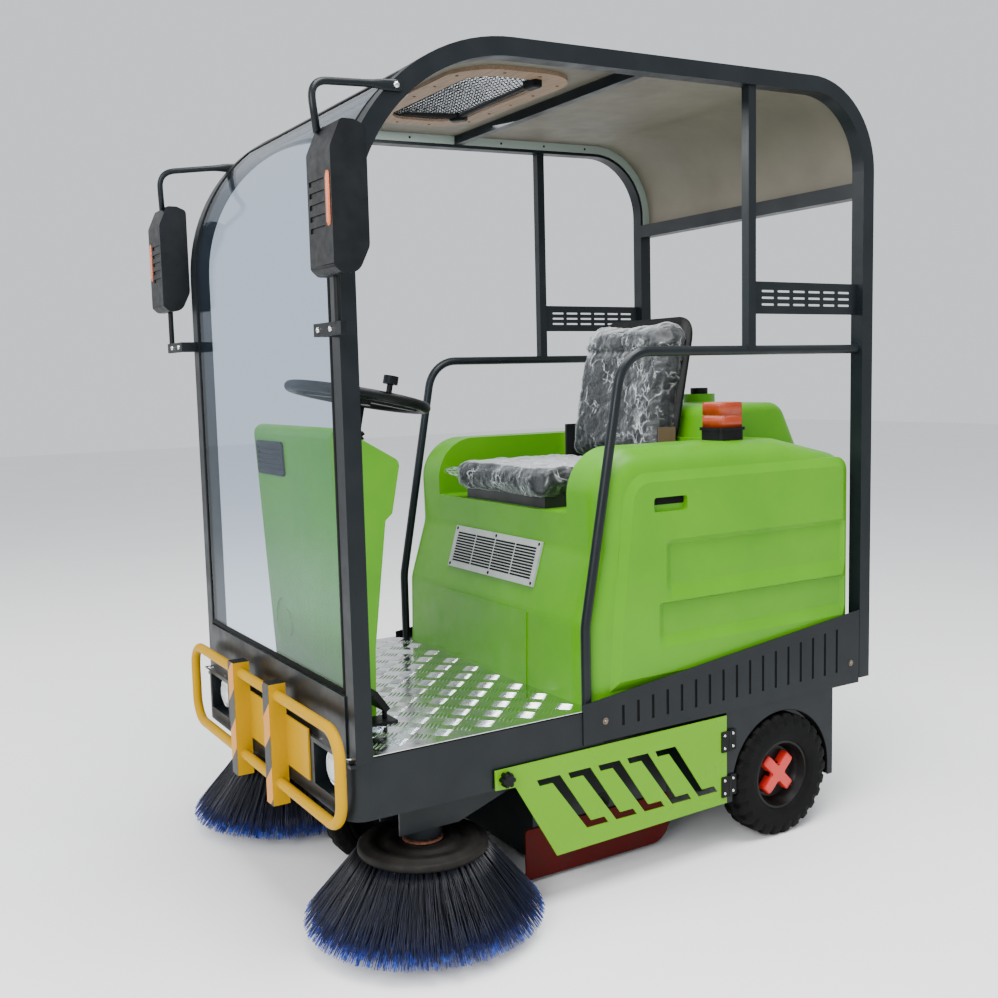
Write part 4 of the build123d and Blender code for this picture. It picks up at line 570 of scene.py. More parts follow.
def strands(lines, width_mm, sides=3):
    """Thin closed tubes along many lines of points (strand, point, xyz), a third thinner at the tip."""
    count, rows = lines.shape[:2]
    ahead = lines[:, -1] - lines[:, 0]
    u, v = around(ahead / np.linalg.norm(ahead, axis=1, keepdims=True))
    angle = 2 * pi * np.arange(sides) / sides
    ring = np.cos(angle)[None, :, None] * u[:, None] + np.sin(angle)[None, :, None] * v[:, None]
    thick = width_mm * MM / 2 * np.linspace(1.0, 0.65, rows)
    points = lines[:, :, None] + thick[None, :, None, None] * ring[:, None]
    start = np.arange(count) * rows * sides
    quads = (grid_faces(rows, sides, wrap_columns=True)[None] + start[:, None, None]).reshape(-1, 4)
    ends = np.arange(sides)
    caps = np.stack([ends[::-1][None] + start[:, None], ends[None] + start[:, None] + (rows - 1) * sides], 1)
    along = np.broadcast_to(np.linspace(0, 1, rows)[None, :, None], (count, rows, sides))
    return points.reshape(-1, 3), quads.tolist() + caps.reshape(-1, sides).tolist(), along.reshape(-1)


def mark_along(obj, along):
    """Share of the length of its strand on each point, from 0 at the root to 1 at the tip."""
    obj.data.attributes.new("along", "FLOAT", "POINT").data.foreach_set("value", np.asarray(along, np.float32))


def lathe(profile, centre, axis, sides):
    """Closed section of (radius, height) in mm turned round an axis through a centre."""
    radius, height = np.array(profile).T * MM
    axis = np.asarray(axis, float)
    u, v = around(axis[None])
    angle = 2 * pi * np.arange(sides) / sides
    ring = np.cos(angle)[:, None] * u + np.sin(angle)[:, None] * v
    points = np.asarray(centre) + radius[:, None, None] * ring[None] + height[:, None, None] * axis
    return points.reshape(-1, 3), grid_faces(len(profile), sides, wrap_rows=True, wrap_columns=True)


def join(parts):
    """Points and faces of several shells as one mesh."""
    points, faces, start = [], [], 0
    for part_points, part_faces in parts:
        points.append(part_points)
        if not isinstance(part_faces, list):
            part_faces = part_faces.tolist()
        faces += [[index + start for index in face] for face in part_faces]
        start += len(part_points)
    return np.concatenate(points), faces


def rounded(half_u, half_v, radius, steps=6):
    """Outline of a rounded rectangle in mm: quarter circles round four centres, anticlockwise."""
    turn = np.linspace(0, pi / 2, steps)
    corners = []
    for quarter, (u, v) in enumerate(((1, 1), (-1, 1), (-1, -1), (1, -1))):
        angle = turn + quarter * pi / 2
        corners.append(np.stack([u * (half_u - radius) + radius * np.cos(angle),
                                 v * (half_v - radius) + radius * np.sin(angle)], -1))
    return np.concatenate(corners)


def polar(radii):
    """Outline in mm from evenly turned radii."""
    angle = 2 * pi * np.arange(len(radii)) / len(radii)
    return np.stack([radii * np.cos(angle), radii * np.sin(angle)], -1)


def pad(outline, rings, centre, u, v):
    """Closed pad: an outline in mm on the directions u and v, scaled and lifted square to them ring by ring."""
    u, v = np.asarray(u, float), np.asarray(v, float)
    flat = (outline[:, :1] * u + outline[:, 1:] * v) * MM
    points = np.concatenate([np.asarray(centre, float) + scale * flat + height * MM * np.cross(u, v)
                             for scale, height in rings])
    size = len(outline)
    caps = [list(range(size))[::-1], list(range((len(rings) - 1) * size, len(rings) * size))]
    return points, grid_faces(len(rings), size, wrap_columns=True).tolist() + caps


def ribbon(line, outward, across, section):
    """Closed strip: a section of (across, outward) in mm carried along a line of points with its directions."""
    section = np.asarray(section, float) * MM
    points = line[:, None] + section[None, :, :1] * across + section[None, :, 1:] * outward[:, None]
    size = len(section)
    last = (len(line) - 1) * size
    caps = [list(range(size))[::-1], list(range(last, last + size))]
    return points.reshape(-1, 3), grid_faces(len(line), size, wrap_columns=True).tolist() + caps


def round_path(corners, trim):
    """Line through corners; each inner corner is rounded by a parabola that starts a set distance before it."""
    corners = np.asarray(corners, float)
    line = [corners[0]]
    t = np.linspace(0, 1, 10)[:, None]
    for before, at, after in zip(corners, corners[1:], corners[2:]):
        start = at + (before - at) * trim / np.linalg.norm(before - at)
        end = at + (after - at) * trim / np.linalg.norm(after - at)
        line.extend((1 - t) ** 2 * start + 2 * t * (1 - t) * at + t ** 2 * end)
    line.append(corners[-1])
    return np.array(line)


def tube(line, deep, wide, side, sides=16):
    """Closed oval tube along a line: half sizes in mm towards a side direction and square to it, point by point."""
    ahead = np.gradient(line, axis=0)
    ahead /= np.linalg.norm(ahead, axis=1, keepdims=True)
    u = np.asarray(side, float) - ahead * (ahead @ np.asarray(side, float))[:, None]
    u /= np.linalg.norm(u, axis=1, keepdims=True)
    v = np.cross(ahead, u)
    angle = 2 * pi * np.arange(sides) / sides
    points = (line[:, None] + (np.cos(angle)[None] * deep[:, None] * MM)[..., None] * u[:, None]
              + (np.sin(angle)[None] * wide[:, None] * MM)[..., None] * v[:, None])
    last = (len(line) - 1) * sides
    caps = [list(range(sides))[::-1], list(range(last, last + sides))]
    return points.reshape(-1, 3), grid_faces(len(line), sides, wrap_columns=True).tolist() + caps


# ---------------------------------------------------------------- brushes
BRUSH_AT = (0.410, -0.552)
DISC_SECTION = (
    (14, 191), (14, 213), (40, 214), (46, 208), (60, 208), (64, 213), (84, 213), (88, 208), (106, 208),
    (110, 213), (128, 213), (132, 208), (143, 208), (149, 203), (149, 192), (144, 190), (60, 190),
)
HUB_SECTION = ((12.2, 213), (12.2, 219), (20, 219), (22, 216), (44, 216), (47, 213))
TUFT_ROWS = 5
TUFTS = 60
ROOT_R, ROW_STEP, ROOT_Z = 92, 12.5, 198
TIP_R, TIP_SPREAD, TIP_Z = 196, 80, 36
HUB_BOLTS_R, HUB_BOLTS_Z = 0.030, 0.2155
ROLLER_BRISTLES = 5200
ROLLER_ROWS = 12


def brush_lines(count, random):
    """Bristles of a side brush: from a ring in the disc to a wider one low over the floor, a little bowed."""
    row = np.arange(count) % TUFT_ROWS
    tuft = random.integers(0, TUFTS, count)
    angle = 2 * pi * (tuft + 0.5 * (row % 2)) / TUFTS + random.normal(0, 0.020, count)
    lean = random.normal(0, 0.035, count)
    root = ROOT_R + row * ROW_STEP + random.uniform(-2.5, 2.5, count)
    share = row / (TUFT_ROWS - 1)
    tip = TIP_R + TIP_SPREAD * share ** 0.8 - np.abs(random.normal(0, 6.0, count))
    low = TIP_Z + np.abs(random.normal(0, 4.0, count)) + 7 * (1 - share) * random.uniform(0, 1, count)
    t = np.linspace(0, 1, 5)[None]
    out = root[:, None] + (tip - root)[:, None] * t ** 1.04
    high = ROOT_Z + (low - ROOT_Z)[:, None] * t ** 1.06
    turn = angle[:, None] + lean[:, None] * t
    return np.stack([out * np.cos(turn), out * np.sin(turn), high], -1) * MM


class SWEEPER_OT_side_brushes(bpy.types.Operator):
    """Side brushes: a grooved disc with five rows of bristles that splay towards the floor"""

    bl_idname = "sweeper.side_brushes"
    bl_label = "Side brushes"

    def execute(self, context):
        for seed, (side, sign) in enumerate(SIDES):
            centre = np.array((sign * BRUSH_AT[0], BRUSH_AT[1], 0.0))
            lines = brush_lines(context.scene.sweeper.bristles, np.random.default_rng(11 + seed)) + centre
            *shape, along = strands(lines, 2.1)
            tufts = piece(f"brush_bristles_{side}", shape, f"side_brush_{side}", "bristle")
            mark_along(tufts, along)
            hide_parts(f"side_brush_{side}")
            disc = lathe(DISC_SECTION, centre, (0, 0, 1), 96)
            plate = piece(f"brush_disc_{side}", disc, f"side_brush_{side}", "black_plastic", True, "dusty_plastic")
            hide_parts(f"side_brush_{side}")
            hub = lathe(HUB_SECTION, centre, (0, 0, 1), 40)
            angle = 2 * pi * np.arange(6) / 6
            spots = np.stack([HUB_BOLTS_R * np.cos(angle), HUB_BOLTS_R * np.sin(angle),
                              np.full(len(angle), HUB_BOLTS_Z)], -1)
            bolts = studs(spots + centre, (0, 0, 1), ((5, -1), (5, 3), (3.6, 4.5)), 6)
            piece(f"brush_hub_{side}", join([hub, bolts]), f"side_brush_{side}", "bright_metal", False, "rust")
        return {"FINISHED"}


class SWEEPER_OT_roller(bpy.types.Operator):
    """Roller broom: spiral rows of bristles on a core"""

    bl_idname = "sweeper.roller"
    bl_label = "Roller broom"

    def execute(self, context):
        random = np.random.default_rng(5)
        low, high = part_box("roller_brush")
        centre = (low + high) / 2
        reach, half = (high.z - low.z) / 2, (high.x - low.x) / 2 - 0.012
        count = ROLLER_BRISTLES
        row = np.arange(count) % ROLLER_ROWS
        x = random.uniform(-1, 1, count) * (half - 0.012)
        angle = 2 * pi * row / ROLLER_ROWS + 2.6 * np.abs(x) / half + random.normal(0, 0.035, count)
        t = np.linspace(0, 1, 3)[None]
        out = 0.04 + (reach - 0.041 - np.abs(random.normal(0, 0.003, count)))[:, None] * t
        turn = angle[:, None] + 0.12 * t ** 2
        lines = np.stack([np.broadcast_to(x[:, None], out.shape), centre.y + out * np.cos(turn),
                          centre.z + out * np.sin(turn)], -1)
        *shape, along = strands(lines, 3.0)
        tufts = piece("roller_bristles", shape, "roller_brush", "bristle")
        mark_along(tufts, along)
        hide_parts("roller_brush")
        ends = half / MM
        section = ((12, -ends - 11.5), (12, ends + 11.5), (40, ends), (42, 0), (40, -ends))
        core = piece("roller_core", lathe(section, centre, (1, 0, 0), 48), "roller_brush", "black_plastic")
        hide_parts("roller_brush")
        return {"FINISHED"}


# ---------------------------------------------------------------- floor, hatch and trim
BAR_GROUP = 0.056
BAR_STEP = 0.0098
BAR_HALF = 0.0215


class SWEEPER_OT_chequer(bpy.types.Operator):
    """Raised lens bars of the chequer plate: groups of five, each group square to its neighbours"""

    bl_idname = "sweeper.chequer"
    bl_label = "Chequer bars"

    def execute(self, context):
        low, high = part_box("floor_plate")
        x = np.arange(low.x + 0.034, high.x - 0.02, BAR_GROUP)
        y = np.arange(low.y + 0.03, high.y - 0.02, BAR_GROUP)
        gx, gy = np.meshgrid(x, y, indexing="ij")
        across = (np.add(*np.indices(gx.shape)) % 2).reshape(-1, 1)
        step = (np.arange(5) - 2) * BAR_STEP
        offset = np.broadcast_to(step, (gx.size, 5))
        lean = np.where(across == 0, pi / 4, -pi / 4) + 0 * offset
        cx = gx.reshape(-1, 1) - offset * np.sin(lean)
        cy = gy.reshape(-1, 1) + offset * np.cos(lean)
        along = np.linspace(-1, 1, 7)[None, :, None]
        side = np.linspace(-1, 1, 5)[None, None, :]
        width = 0.0037 * np.sqrt(np.clip(1 - along ** 2, 0.0004, 1))
        rise = 0.0022 * np.clip(1 - along ** 2, 0, 1) ** 0.5 * (1 - side ** 2)
        a = lean.reshape(-1, 1, 1)
        px = cx.reshape(-1, 1, 1) + along * BAR_HALF * np.cos(a) - side * width * np.sin(a)
        py = cy.reshape(-1, 1, 1) + along * BAR_HALF * np.sin(a) + side * width * np.cos(a)
        pz = high.z - 0.0002 + rise + 0 * px
        keep = ((np.abs(px) < high.x - 0.006).all((1, 2)) & (py < high.y - 0.006).all((1, 2))
                & (py > low.y + 0.006).all((1, 2)))
        points = np.stack([px, py, pz], -1)[keep]
        start = np.arange(len(points)) * along.size * side.size
        faces = (grid_faces(along.size, side.size)[None] + start[:, None, None]).reshape(-1, 4)
        piece("chequer_bars", (points, faces), "chassis", "floor_aluminium")
        return {"FINISHED"}


ROOF_SLOPE = 0.02649
HATCH_CORNER = 0.075
WEAVE_PITCH = 0.0105
LOCKING_BARS = (((-150, 72, 0), (235, 60, 0)), ((-150, 72, 0), (-172, -88, 0)))
LOCKING_BRACKETS = ((-150, 70, 40), (238, 58, 10))


def weave_lines(centre, half, corner, pitch, turn):
    """Wires of one slanting direction across an opening with round corners, waved over and under the other one."""
    lines = []
    reach = half.x + half.y
    for step in np.arange(-round(reach / pitch), round(reach / pitch) + 1):
        t = np.linspace(-reach, reach, 400)
        x = t * cos(turn) - step * pitch * sin(turn)
        y = t * sin(turn) + step * pitch * cos(turn)
        over = np.hypot(np.maximum(np.abs(x) - half.x + corner, 0), np.maximum(np.abs(y) - half.y + corner, 0))
        t = t[over < corner]
        if len(t) < 8:
            continue
        t = np.linspace(t[0], t[-1], 33)
        x = t * cos(turn) - step * pitch * sin(turn)
        y = t * sin(turn) + step * pitch * cos(turn)
        wave = 0.0007 * np.sign(turn) * np.cos(pi * step + pi * t / pitch)
        lines.append(np.stack([centre.x + x, centre.y + y, centre.z + ROOF_SLOPE * y + wave], -1))
    return np.array(lines)


class SWEEPER_OT_hatch(bpy.types.Operator):
    """Roof hatch: woven screen, its locking bars and brackets, and the screws of the plywood ring"""

    bl_idname = "sweeper.hatch"
    bl_label = "Roof hatch"

    def execute(self, context):
        low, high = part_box("hatch_screen")
        centre, half = (low + high) / 2, (high - low) / 2
        parts = [strands(weave_lines(centre, half, HATCH_CORNER, WEAVE_PITCH, turn), 2.8)[:2]
                 for turn in (pi / 4, -pi / 4)]
        weave = piece("hatch_weave", join(parts), "chassis", "screen_metal", finish="wire")
        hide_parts("hatch_screen")
        parts = []
        for start, end in LOCKING_BARS:
            line = np.linspace(start, end, 3) * MM + np.array((centre.x, centre.y, centre.z - 0.012))
            line[:, 2] += ROOF_SLOPE * (line[:, 1] - centre.y)
            parts.append(strands(line[None], 17.0, 8)[:2])
        for x, y, turn in LOCKING_BRACKETS:
            at = (centre.x + x * MM, centre.y + y * MM, centre.z - 0.012 + ROOF_SLOPE * y * MM)
            u = np.array((cos(radians(turn)), sin(radians(turn)), 0.0))
            v = np.array((-sin(radians(turn)), cos(radians(turn)), 0.0))
            parts.append(pad(rounded(24, 13, 6), ((1, 6), (1, -11), (0.8, -14)), at, u, v))
        piece("hatch_lock", join(parts), "chassis", "black_plastic", smooth=False)
        ring_low, ring_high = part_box("hatch_ring")
        middle = (ring_low + ring_high) / 2
        reach_x, reach_y = (ring_high.x - ring_low.x) / 2 - 0.026, (ring_high.y - ring_low.y) / 2 - 0.026
        spots = [(x, side * reach_y) for x in np.linspace(-0.22, 0.22, 5) for side in (-1, 1)]
        spots += [(side * reach_x, y) for y in (-0.05, 0.05) for side in (-1, 1)]
        spots = [(middle.x + x, middle.y + y, ring_low.z + (y + reach_y) * ROOF_SLOPE + 0.001) for x, y in spots]
        screws = studs(spots, (0, 0, -1), ((4.2, 0), (4.2, 1.2), (2.4, 2.0)), 10)
        piece("hatch_screws", screws, "chassis", "bright_metal", finish="rust")
        return {"FINISHED"}


BEND_AT = (-0.301, 1.5298)
GLASS_R = 0.444
GLASS_FOOT = 0.584
GLASS_TURN = 52.4
ROOF_SCREWS_AT = 0.4522
ROOF_FRONT = (-0.746, 1.9632)
SEAL = ((0, -0.4), (13, -0.4), (12.4, 1.5), (9, 2.3), (3, 2.3), (0, 1.4))


class SWEEPER_OT_seals(bpy.types.Operator):
    """Rubber seals round the windscreen, following its bend, and the screws of the roof's folded edges"""

    bl_idname = "sweeper.seals"
    bl_label = "Seals"

    def execute(self, context):
        low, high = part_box("windscreen")
        turn = np.radians(np.linspace(0, GLASS_TURN, 25))
        up = np.linspace(GLASS_FOOT, BEND_AT[1], 6)[:-1]
        y = np.concatenate([0 * up + BEND_AT[0] - GLASS_R, BEND_AT[0] - GLASS_R * np.cos(turn)])
        z = np.concatenate([up, BEND_AT[1] + GLASS_R * np.sin(turn)])
        outward = np.stack([0 * y, np.concatenate([0 * up - 1, -np.cos(turn)]),
                            np.concatenate([0 * up, np.sin(turn)])], -1)
        parts = []
        for _, sign in SIDES:
            line = np.stack([0 * y + sign * high.x, y, z], -1)
            parts.append(ribbon(line, outward, np.array((-sign, 0.0, 0.0)), SEAL))
        for index, along in ((0, (0.0, 0.0, 1.0)), (-1, np.cross((1.0, 0.0, 0.0), outward[-1]))):
            x = np.linspace(low.x + 0.004, high.x - 0.004, 3)
            line = np.stack([x, 0 * x + y[index], 0 * x + z[index]], -1)
            parts.append(ribbon(line, np.repeat(outward[index][None], 3, 0), np.asarray(along), SEAL))
        piece("windscreen_seals", join(parts), "chassis", "black_rubber")
        spots, normals = [], []
        for _, sign in SIDES:
            for y in np.linspace(-0.24, 0.56, 6):
                spots.append((sign * ROOF_SCREWS_AT, y, ROOF_FRONT[1] + ROOF_SLOPE * (y - ROOF_FRONT[0]) - 0.019))
                normals.append((-sign, 0.0, 0.0))
        screws = studs(spots, normals, ((3.6, 0), (3.6, 1.2), (2.2, 2.0)), 10)
        piece("roof_screws", screws, "chassis", "bright_metal", finish="black_plastic")
        return {"FINISHED"}


POST_AT = 0.126
POST_HALF = 20.2


class SWEEPER_OT_guard(bpy.types.Operator):
    """Hazard tape down the front of the guard posts, and the dark tape folded over their tops"""

    bl_idname = "sweeper.guard"
    bl_label = "Guard tape"

    def execute(self, context):
        low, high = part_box("bumper_guard")
        middle, half = (low.z + high.z) / 2, (high.z - low.z) / 2 / MM
        tapes, caps = [], []
        for _, sign in SIDES:
            x = sign * POST_AT
            tape, cap = rounded(POST_HALF, half - 0.4, 0.6, 2), rounded(POST_HALF, 20.8, 0.6, 2)
            tapes.append(pad(tape, ((1, 0), (1, 0.5)), (x, low.y, middle), (1, 0, 0), (0, 0, 1)))
            caps.append(pad(cap, ((1, 0), (1, 0.6)), (x, low.y + 0.0212, high.z), (1, 0, 0), (0, 1, 0)))
        piece("guard_tape", join(tapes), "chassis", "guard_yellow", False, "hazard")
        piece("guard_caps", join(caps), "chassis", "guard_yellow", False, "black_plastic")
        return {"FINISHED"}


CASE_TOP = 1.7322
REFLECTOR_Z = 1.587
MIRROR_GLASS_AT = (0.5825, -0.740, 1.611)
CLAMP_BOLTS = ((0.490, -0.789, 1.349), (0.552, -0.789, 1.349))
PIVOT_BOLT = (0.5015, -0.603, 1.842)
CLAMP_DOME = ((6, -0.5), (6, 2.5), (5, 4.0), (2, 4.8))
PIVOT_DOME = ((7, -0.5), (7, 2.5), (5, 5), (2, 5.8))
ARM_CORNERS = ((0.4985, -0.590, 1.842), (0.4985, -0.645, 1.840), (0.534, -0.806, 1.822), (0.546, -0.799, 1.722))


def cut_above(obj, height):
    """Take away what lies above a height and close the cut."""
    mesh = bmesh.new()
    mesh.from_mesh(obj.data)
    bmesh.ops.remove_doubles(mesh, verts=mesh.verts, dist=0.00002)
    bmesh.ops.bisect_plane(mesh, geom=mesh.verts[:] + mesh.edges[:] + mesh.faces[:], plane_co=(0, 0, height),
                           plane_no=(0, 0, 1), clear_outer=True)
    bmesh.ops.holes_fill(mesh, edges=[edge for edge in mesh.edges if edge.is_boundary], sides=0)
    mesh.to_mesh(obj.data)
    mesh.free()


class SWEEPER_OT_mirrors(bpy.types.Operator):
    """Mirrors: bent arms with flattened ends, glass at the back, an orange reflector in front, and bright bolts"""

    bl_idname = "sweeper.mirrors"
    bl_label = "Mirrors"

    def execute(self, context):
        for side, sign in SIDES:
            low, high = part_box(f"mirror_{side}")
            case = fresh_copy(f"mirror_case_{side}", f"mirror_{side}")
            cut_above(case, CASE_TOP)
            dress(case, "chassis", "black_plastic", "mirror_case")
            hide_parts(f"mirror_{side}")
            mirrored = (sign, 1, 1)
            line = round_path(np.array(ARM_CORNERS) * mirrored, 0.042)
            along = np.linalg.norm(line - line[0], axis=1)
            flat = 1 / (1 + np.exp((along - 0.055) / 0.008))
            rod = tube(line, 7.6 - 4.6 * flat, 7.6 + 4.2 * flat, (1, 0, 0))
            arm = piece(f"mirror_arm_{side}", rod, "chassis", "black_plastic", True, "frame_paint")
            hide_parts(f"mirror_{side}")
            outer = high.x if sign > 0 else low.x
            strip = (outer - sign * 0.016, low.y, REFLECTOR_Z)
            bar = pad(rounded(8.5, 51, 8.4), ((1, -0.5), (1, 1.4), (0.86, 2.4)), strip, (1, 0, 0), (0, 0, 1))
            piece(f"mirror_reflector_{side}", bar, "chassis", "amber_lens", True, "reflector")
            at = np.array(MIRROR_GLASS_AT) * mirrored
            pane = pad(rounded(50, 104, 14), ((1, -0.5), (1, 0.6)), at, (-1, 0, 0), (0, 0, 1))
            piece(f"mirror_glass_{side}", pane, "chassis", "bright_metal", False, "mirror_glass")
            bolts = [studs(np.array(CLAMP_BOLTS) * mirrored, (0, -1, 0), CLAMP_DOME, 12),
                     studs(np.array(PIVOT_BOLT) * mirrored, (sign, 0, 0), PIVOT_DOME, 14)]
            piece(f"mirror_bolts_{side}", join(bolts), "chassis", "bright_metal")
        return {"FINISHED"}


HINGE_Y = 0.296
HINGE_Z = (0.298, 0.178)
HINGE_FACE = 0.497
BARREL = ((6.2, -27.0), (6.2, 27.0), (0.5, 27.2), (0.5, -27.2))
HINGE_SCREW = ((3.8, -0.3), (3.8, 0.7), (2.2, 1.5))
KNOB_AT = (-0.384, 0.340)
DOOR_FACE = 0.502


def knob_outline():
    """Six-lobed outline: the larger of a circle and of six smaller circles round it, by angle."""
    angle = np.linspace(0, 2 * pi, 72, endpoint=False)
    lobe = (angle + pi / 6) % (pi / 3) - pi / 6
    reach = 12 * np.cos(lobe) + np.sqrt(np.maximum(5.7 ** 2 - (12 * np.sin(lobe)) ** 2, 0.0))
    return polar(np.where(np.abs(12 * np.sin(lobe)) < 5.6, np.maximum(reach, 12.6), 12.6))


class SWEEPER_OT_doors(bpy.types.Operator):
    """Black hinge plates with bright screws, their barrels, and the black star knob of each side door"""

    bl_idname = "sweeper.doors"
    bl_label = "Door fittings"

    def execute(self, context):
        for side, sign in SIDES:
            u, v = (0, sign, 0), (0, 0, 1)
            door, fixed, screws_door, screws_fixed = [], [], [], []
            for z in HINGE_Z:
                door.append(pad(rounded(11.6, 27.4, 2, 3), ((1, 0), (1, 3.1)),
                                (sign * DOOR_FACE, HINGE_Y - 0.0157, z), u, v))
                fixed.append(pad(rounded(10.6, 27.4, 2, 3), ((1, 0), (1, 3.1)),
                                 (sign * HINGE_FACE, HINGE_Y + 0.0161, z), u, v))
                fixed.append(lathe(BARREL, (sign * 0.500, HINGE_Y, z), (0, 0, 1), 20))
                screws_door += [(sign * (DOOR_FACE + 0.003), HINGE_Y - 0.0165, z + dz) for dz in (-0.017, 0.017)]
                screws_fixed += [(sign * 0.5, HINGE_Y + 0.0165, z + dz) for dz in (-0.017, 0.017)]
            knob = pad(knob_outline(), ((1, -0.3), (1, 17), (0.94, 19.4), (0.6, 20.2), (0.3, 20.2)),
                       (sign * DOOR_FACE, *KNOB_AT), u, v)
            piece(f"door_fittings_{side}", join(door + [knob]), f"side_door_{side}", "door_green", False,
                  "black_plastic")
            piece(f"hinge_fittings_{side}", join(fixed), "chassis", "frame_paint", False, "black_plastic")
            for name, spots, body in (("door", screws_door, f"side_door_{side}"),
                                      ("hinge", screws_fixed, "chassis")):
                piece(f"{name}_screws_{side}", studs(spots, (sign, 0, 0), HINGE_SCREW, 12), body, "bright_metal")
        return {"FINISHED"}


def cross_outline():
    """Four-armed outline: straight arms 30 mm wide that run into each other with round corners, by angle."""
    angle = np.linspace(0, 2 * pi, 96, endpoint=False)
    arm = (angle + pi / 4) % (pi / 2) - pi / 4
    side = 15.0 / np.maximum(np.abs(np.sin(arm)), 1e-6)
    return polar(np.maximum(np.minimum(62.0 / np.cos(arm), side), 25 + 0 * angle))


class SWEEPER_OT_wheels(bpy.types.Operator):
    """Red four-armed clamp on the outside of each rear wheel"""

    bl_idname = "sweeper.wheels"
    bl_label = "Wheel clamps"

    def execute(self, context):
        for side, sign in SIDES:
            low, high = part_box(f"rear_rim_{side}")
            u, v = (0, sign * cos(pi / 4), sin(pi / 4)), (0, -sign * sin(pi / 4), cos(pi / 4))
            rings = ((1, -0.5), (1, 19.0), (0.95, 23.2), (0.85, 25.0), (0.4, 25.4))
            clamp = pad(cross_outline(), rings, (low + high) / 2, u, v)
            piece(f"wheel_clamp_{side}", clamp, f"rear_wheel_{side}", "rim_metal", False, "clamp_red")
        return {"FINISHED"}


FLUTES = 72
FLUTE_DEPTH = 0.6


class SWEEPER_OT_lamps(bpy.types.Operator):
    """Chrome rings of the headlamps and the fluted lens of the beacon"""

    bl_idname = "sweeper.lamps"
    bl_label = "Lamps"

    def execute(self, context):
        for side, _ in SIDES:
            low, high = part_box(f"headlamp_{side}")
            centre = ((low.x + high.x) / 2, high.y, (low.z + high.z) / 2)
            ring = ((38.2, 33), (42.4, 31), (43.0, 35), (41.0, 39), (38.6, 40), (37.2, 37))
            piece(f"lamp_ring_{side}", lathe(ring, centre, (0, -1, 0), 48), "chassis", "bright_metal")
        low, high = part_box("beacon_lens")
        half = (high.x - low.x) / 2 / MM
        outline = rounded(half - FLUTE_DEPTH, half - FLUTE_DEPTH, 14, 9)
        steps = np.concatenate([outline, outline[:1]])
        length = np.concatenate([[0], np.cumsum(np.linalg.norm(np.diff(steps, axis=0), axis=1))])
        at = np.linspace(0, length[-1], 288, endpoint=False)
        fine = np.stack([np.interp(at, length, steps[:, 0]), np.interp(at, length, steps[:, 1])], -1)
        fine *= 1 + FLUTE_DEPTH / half * np.sin(at / length[-1] * 2 * pi * FLUTES)[:, None]
        rings = ((0.99, 0), (0.99, 29.4), (0.95, 30), (0.95, 33), (0.99, 33.6), (0.985, 61), (0.95, 65),
                 (0.7, 66), (0.4, 65.4))
        foot = ((low.x + high.x) / 2, (low.y + high.y) / 2, low.z)
        lens = piece("beacon_flutes", pad(fine, rings, foot, (1, 0, 0), (0, 1, 0)), "chassis", "amber_lens")
        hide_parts("beacon_lens")
        return {"FINISHED"}


HEXAGON = ((5.6, -1), (5.6, 3.4), (4.7, 4.6))
WASHER = ((8.5, -1), (8.5, 1.0), (7.6, 1.4))
BAND_BOLTS = ((0.497, -0.096, 0.421), (0.497, 0.755, 0.432))
SLOTS = 17
FIRST_SLOT = (-42, 401, 451)
SLOT_RUN = (740.8, 11, 83)
ARCH_AT = (0.491, 0.166)
ARCH_R = 0.1755
LIP = ((0, 0), (30, 0), (30, 1.5), (0, 1.5))
SLOT_SHADE_WIDE = 0.103
SLOT_SHADE_TALL = 0.0079091


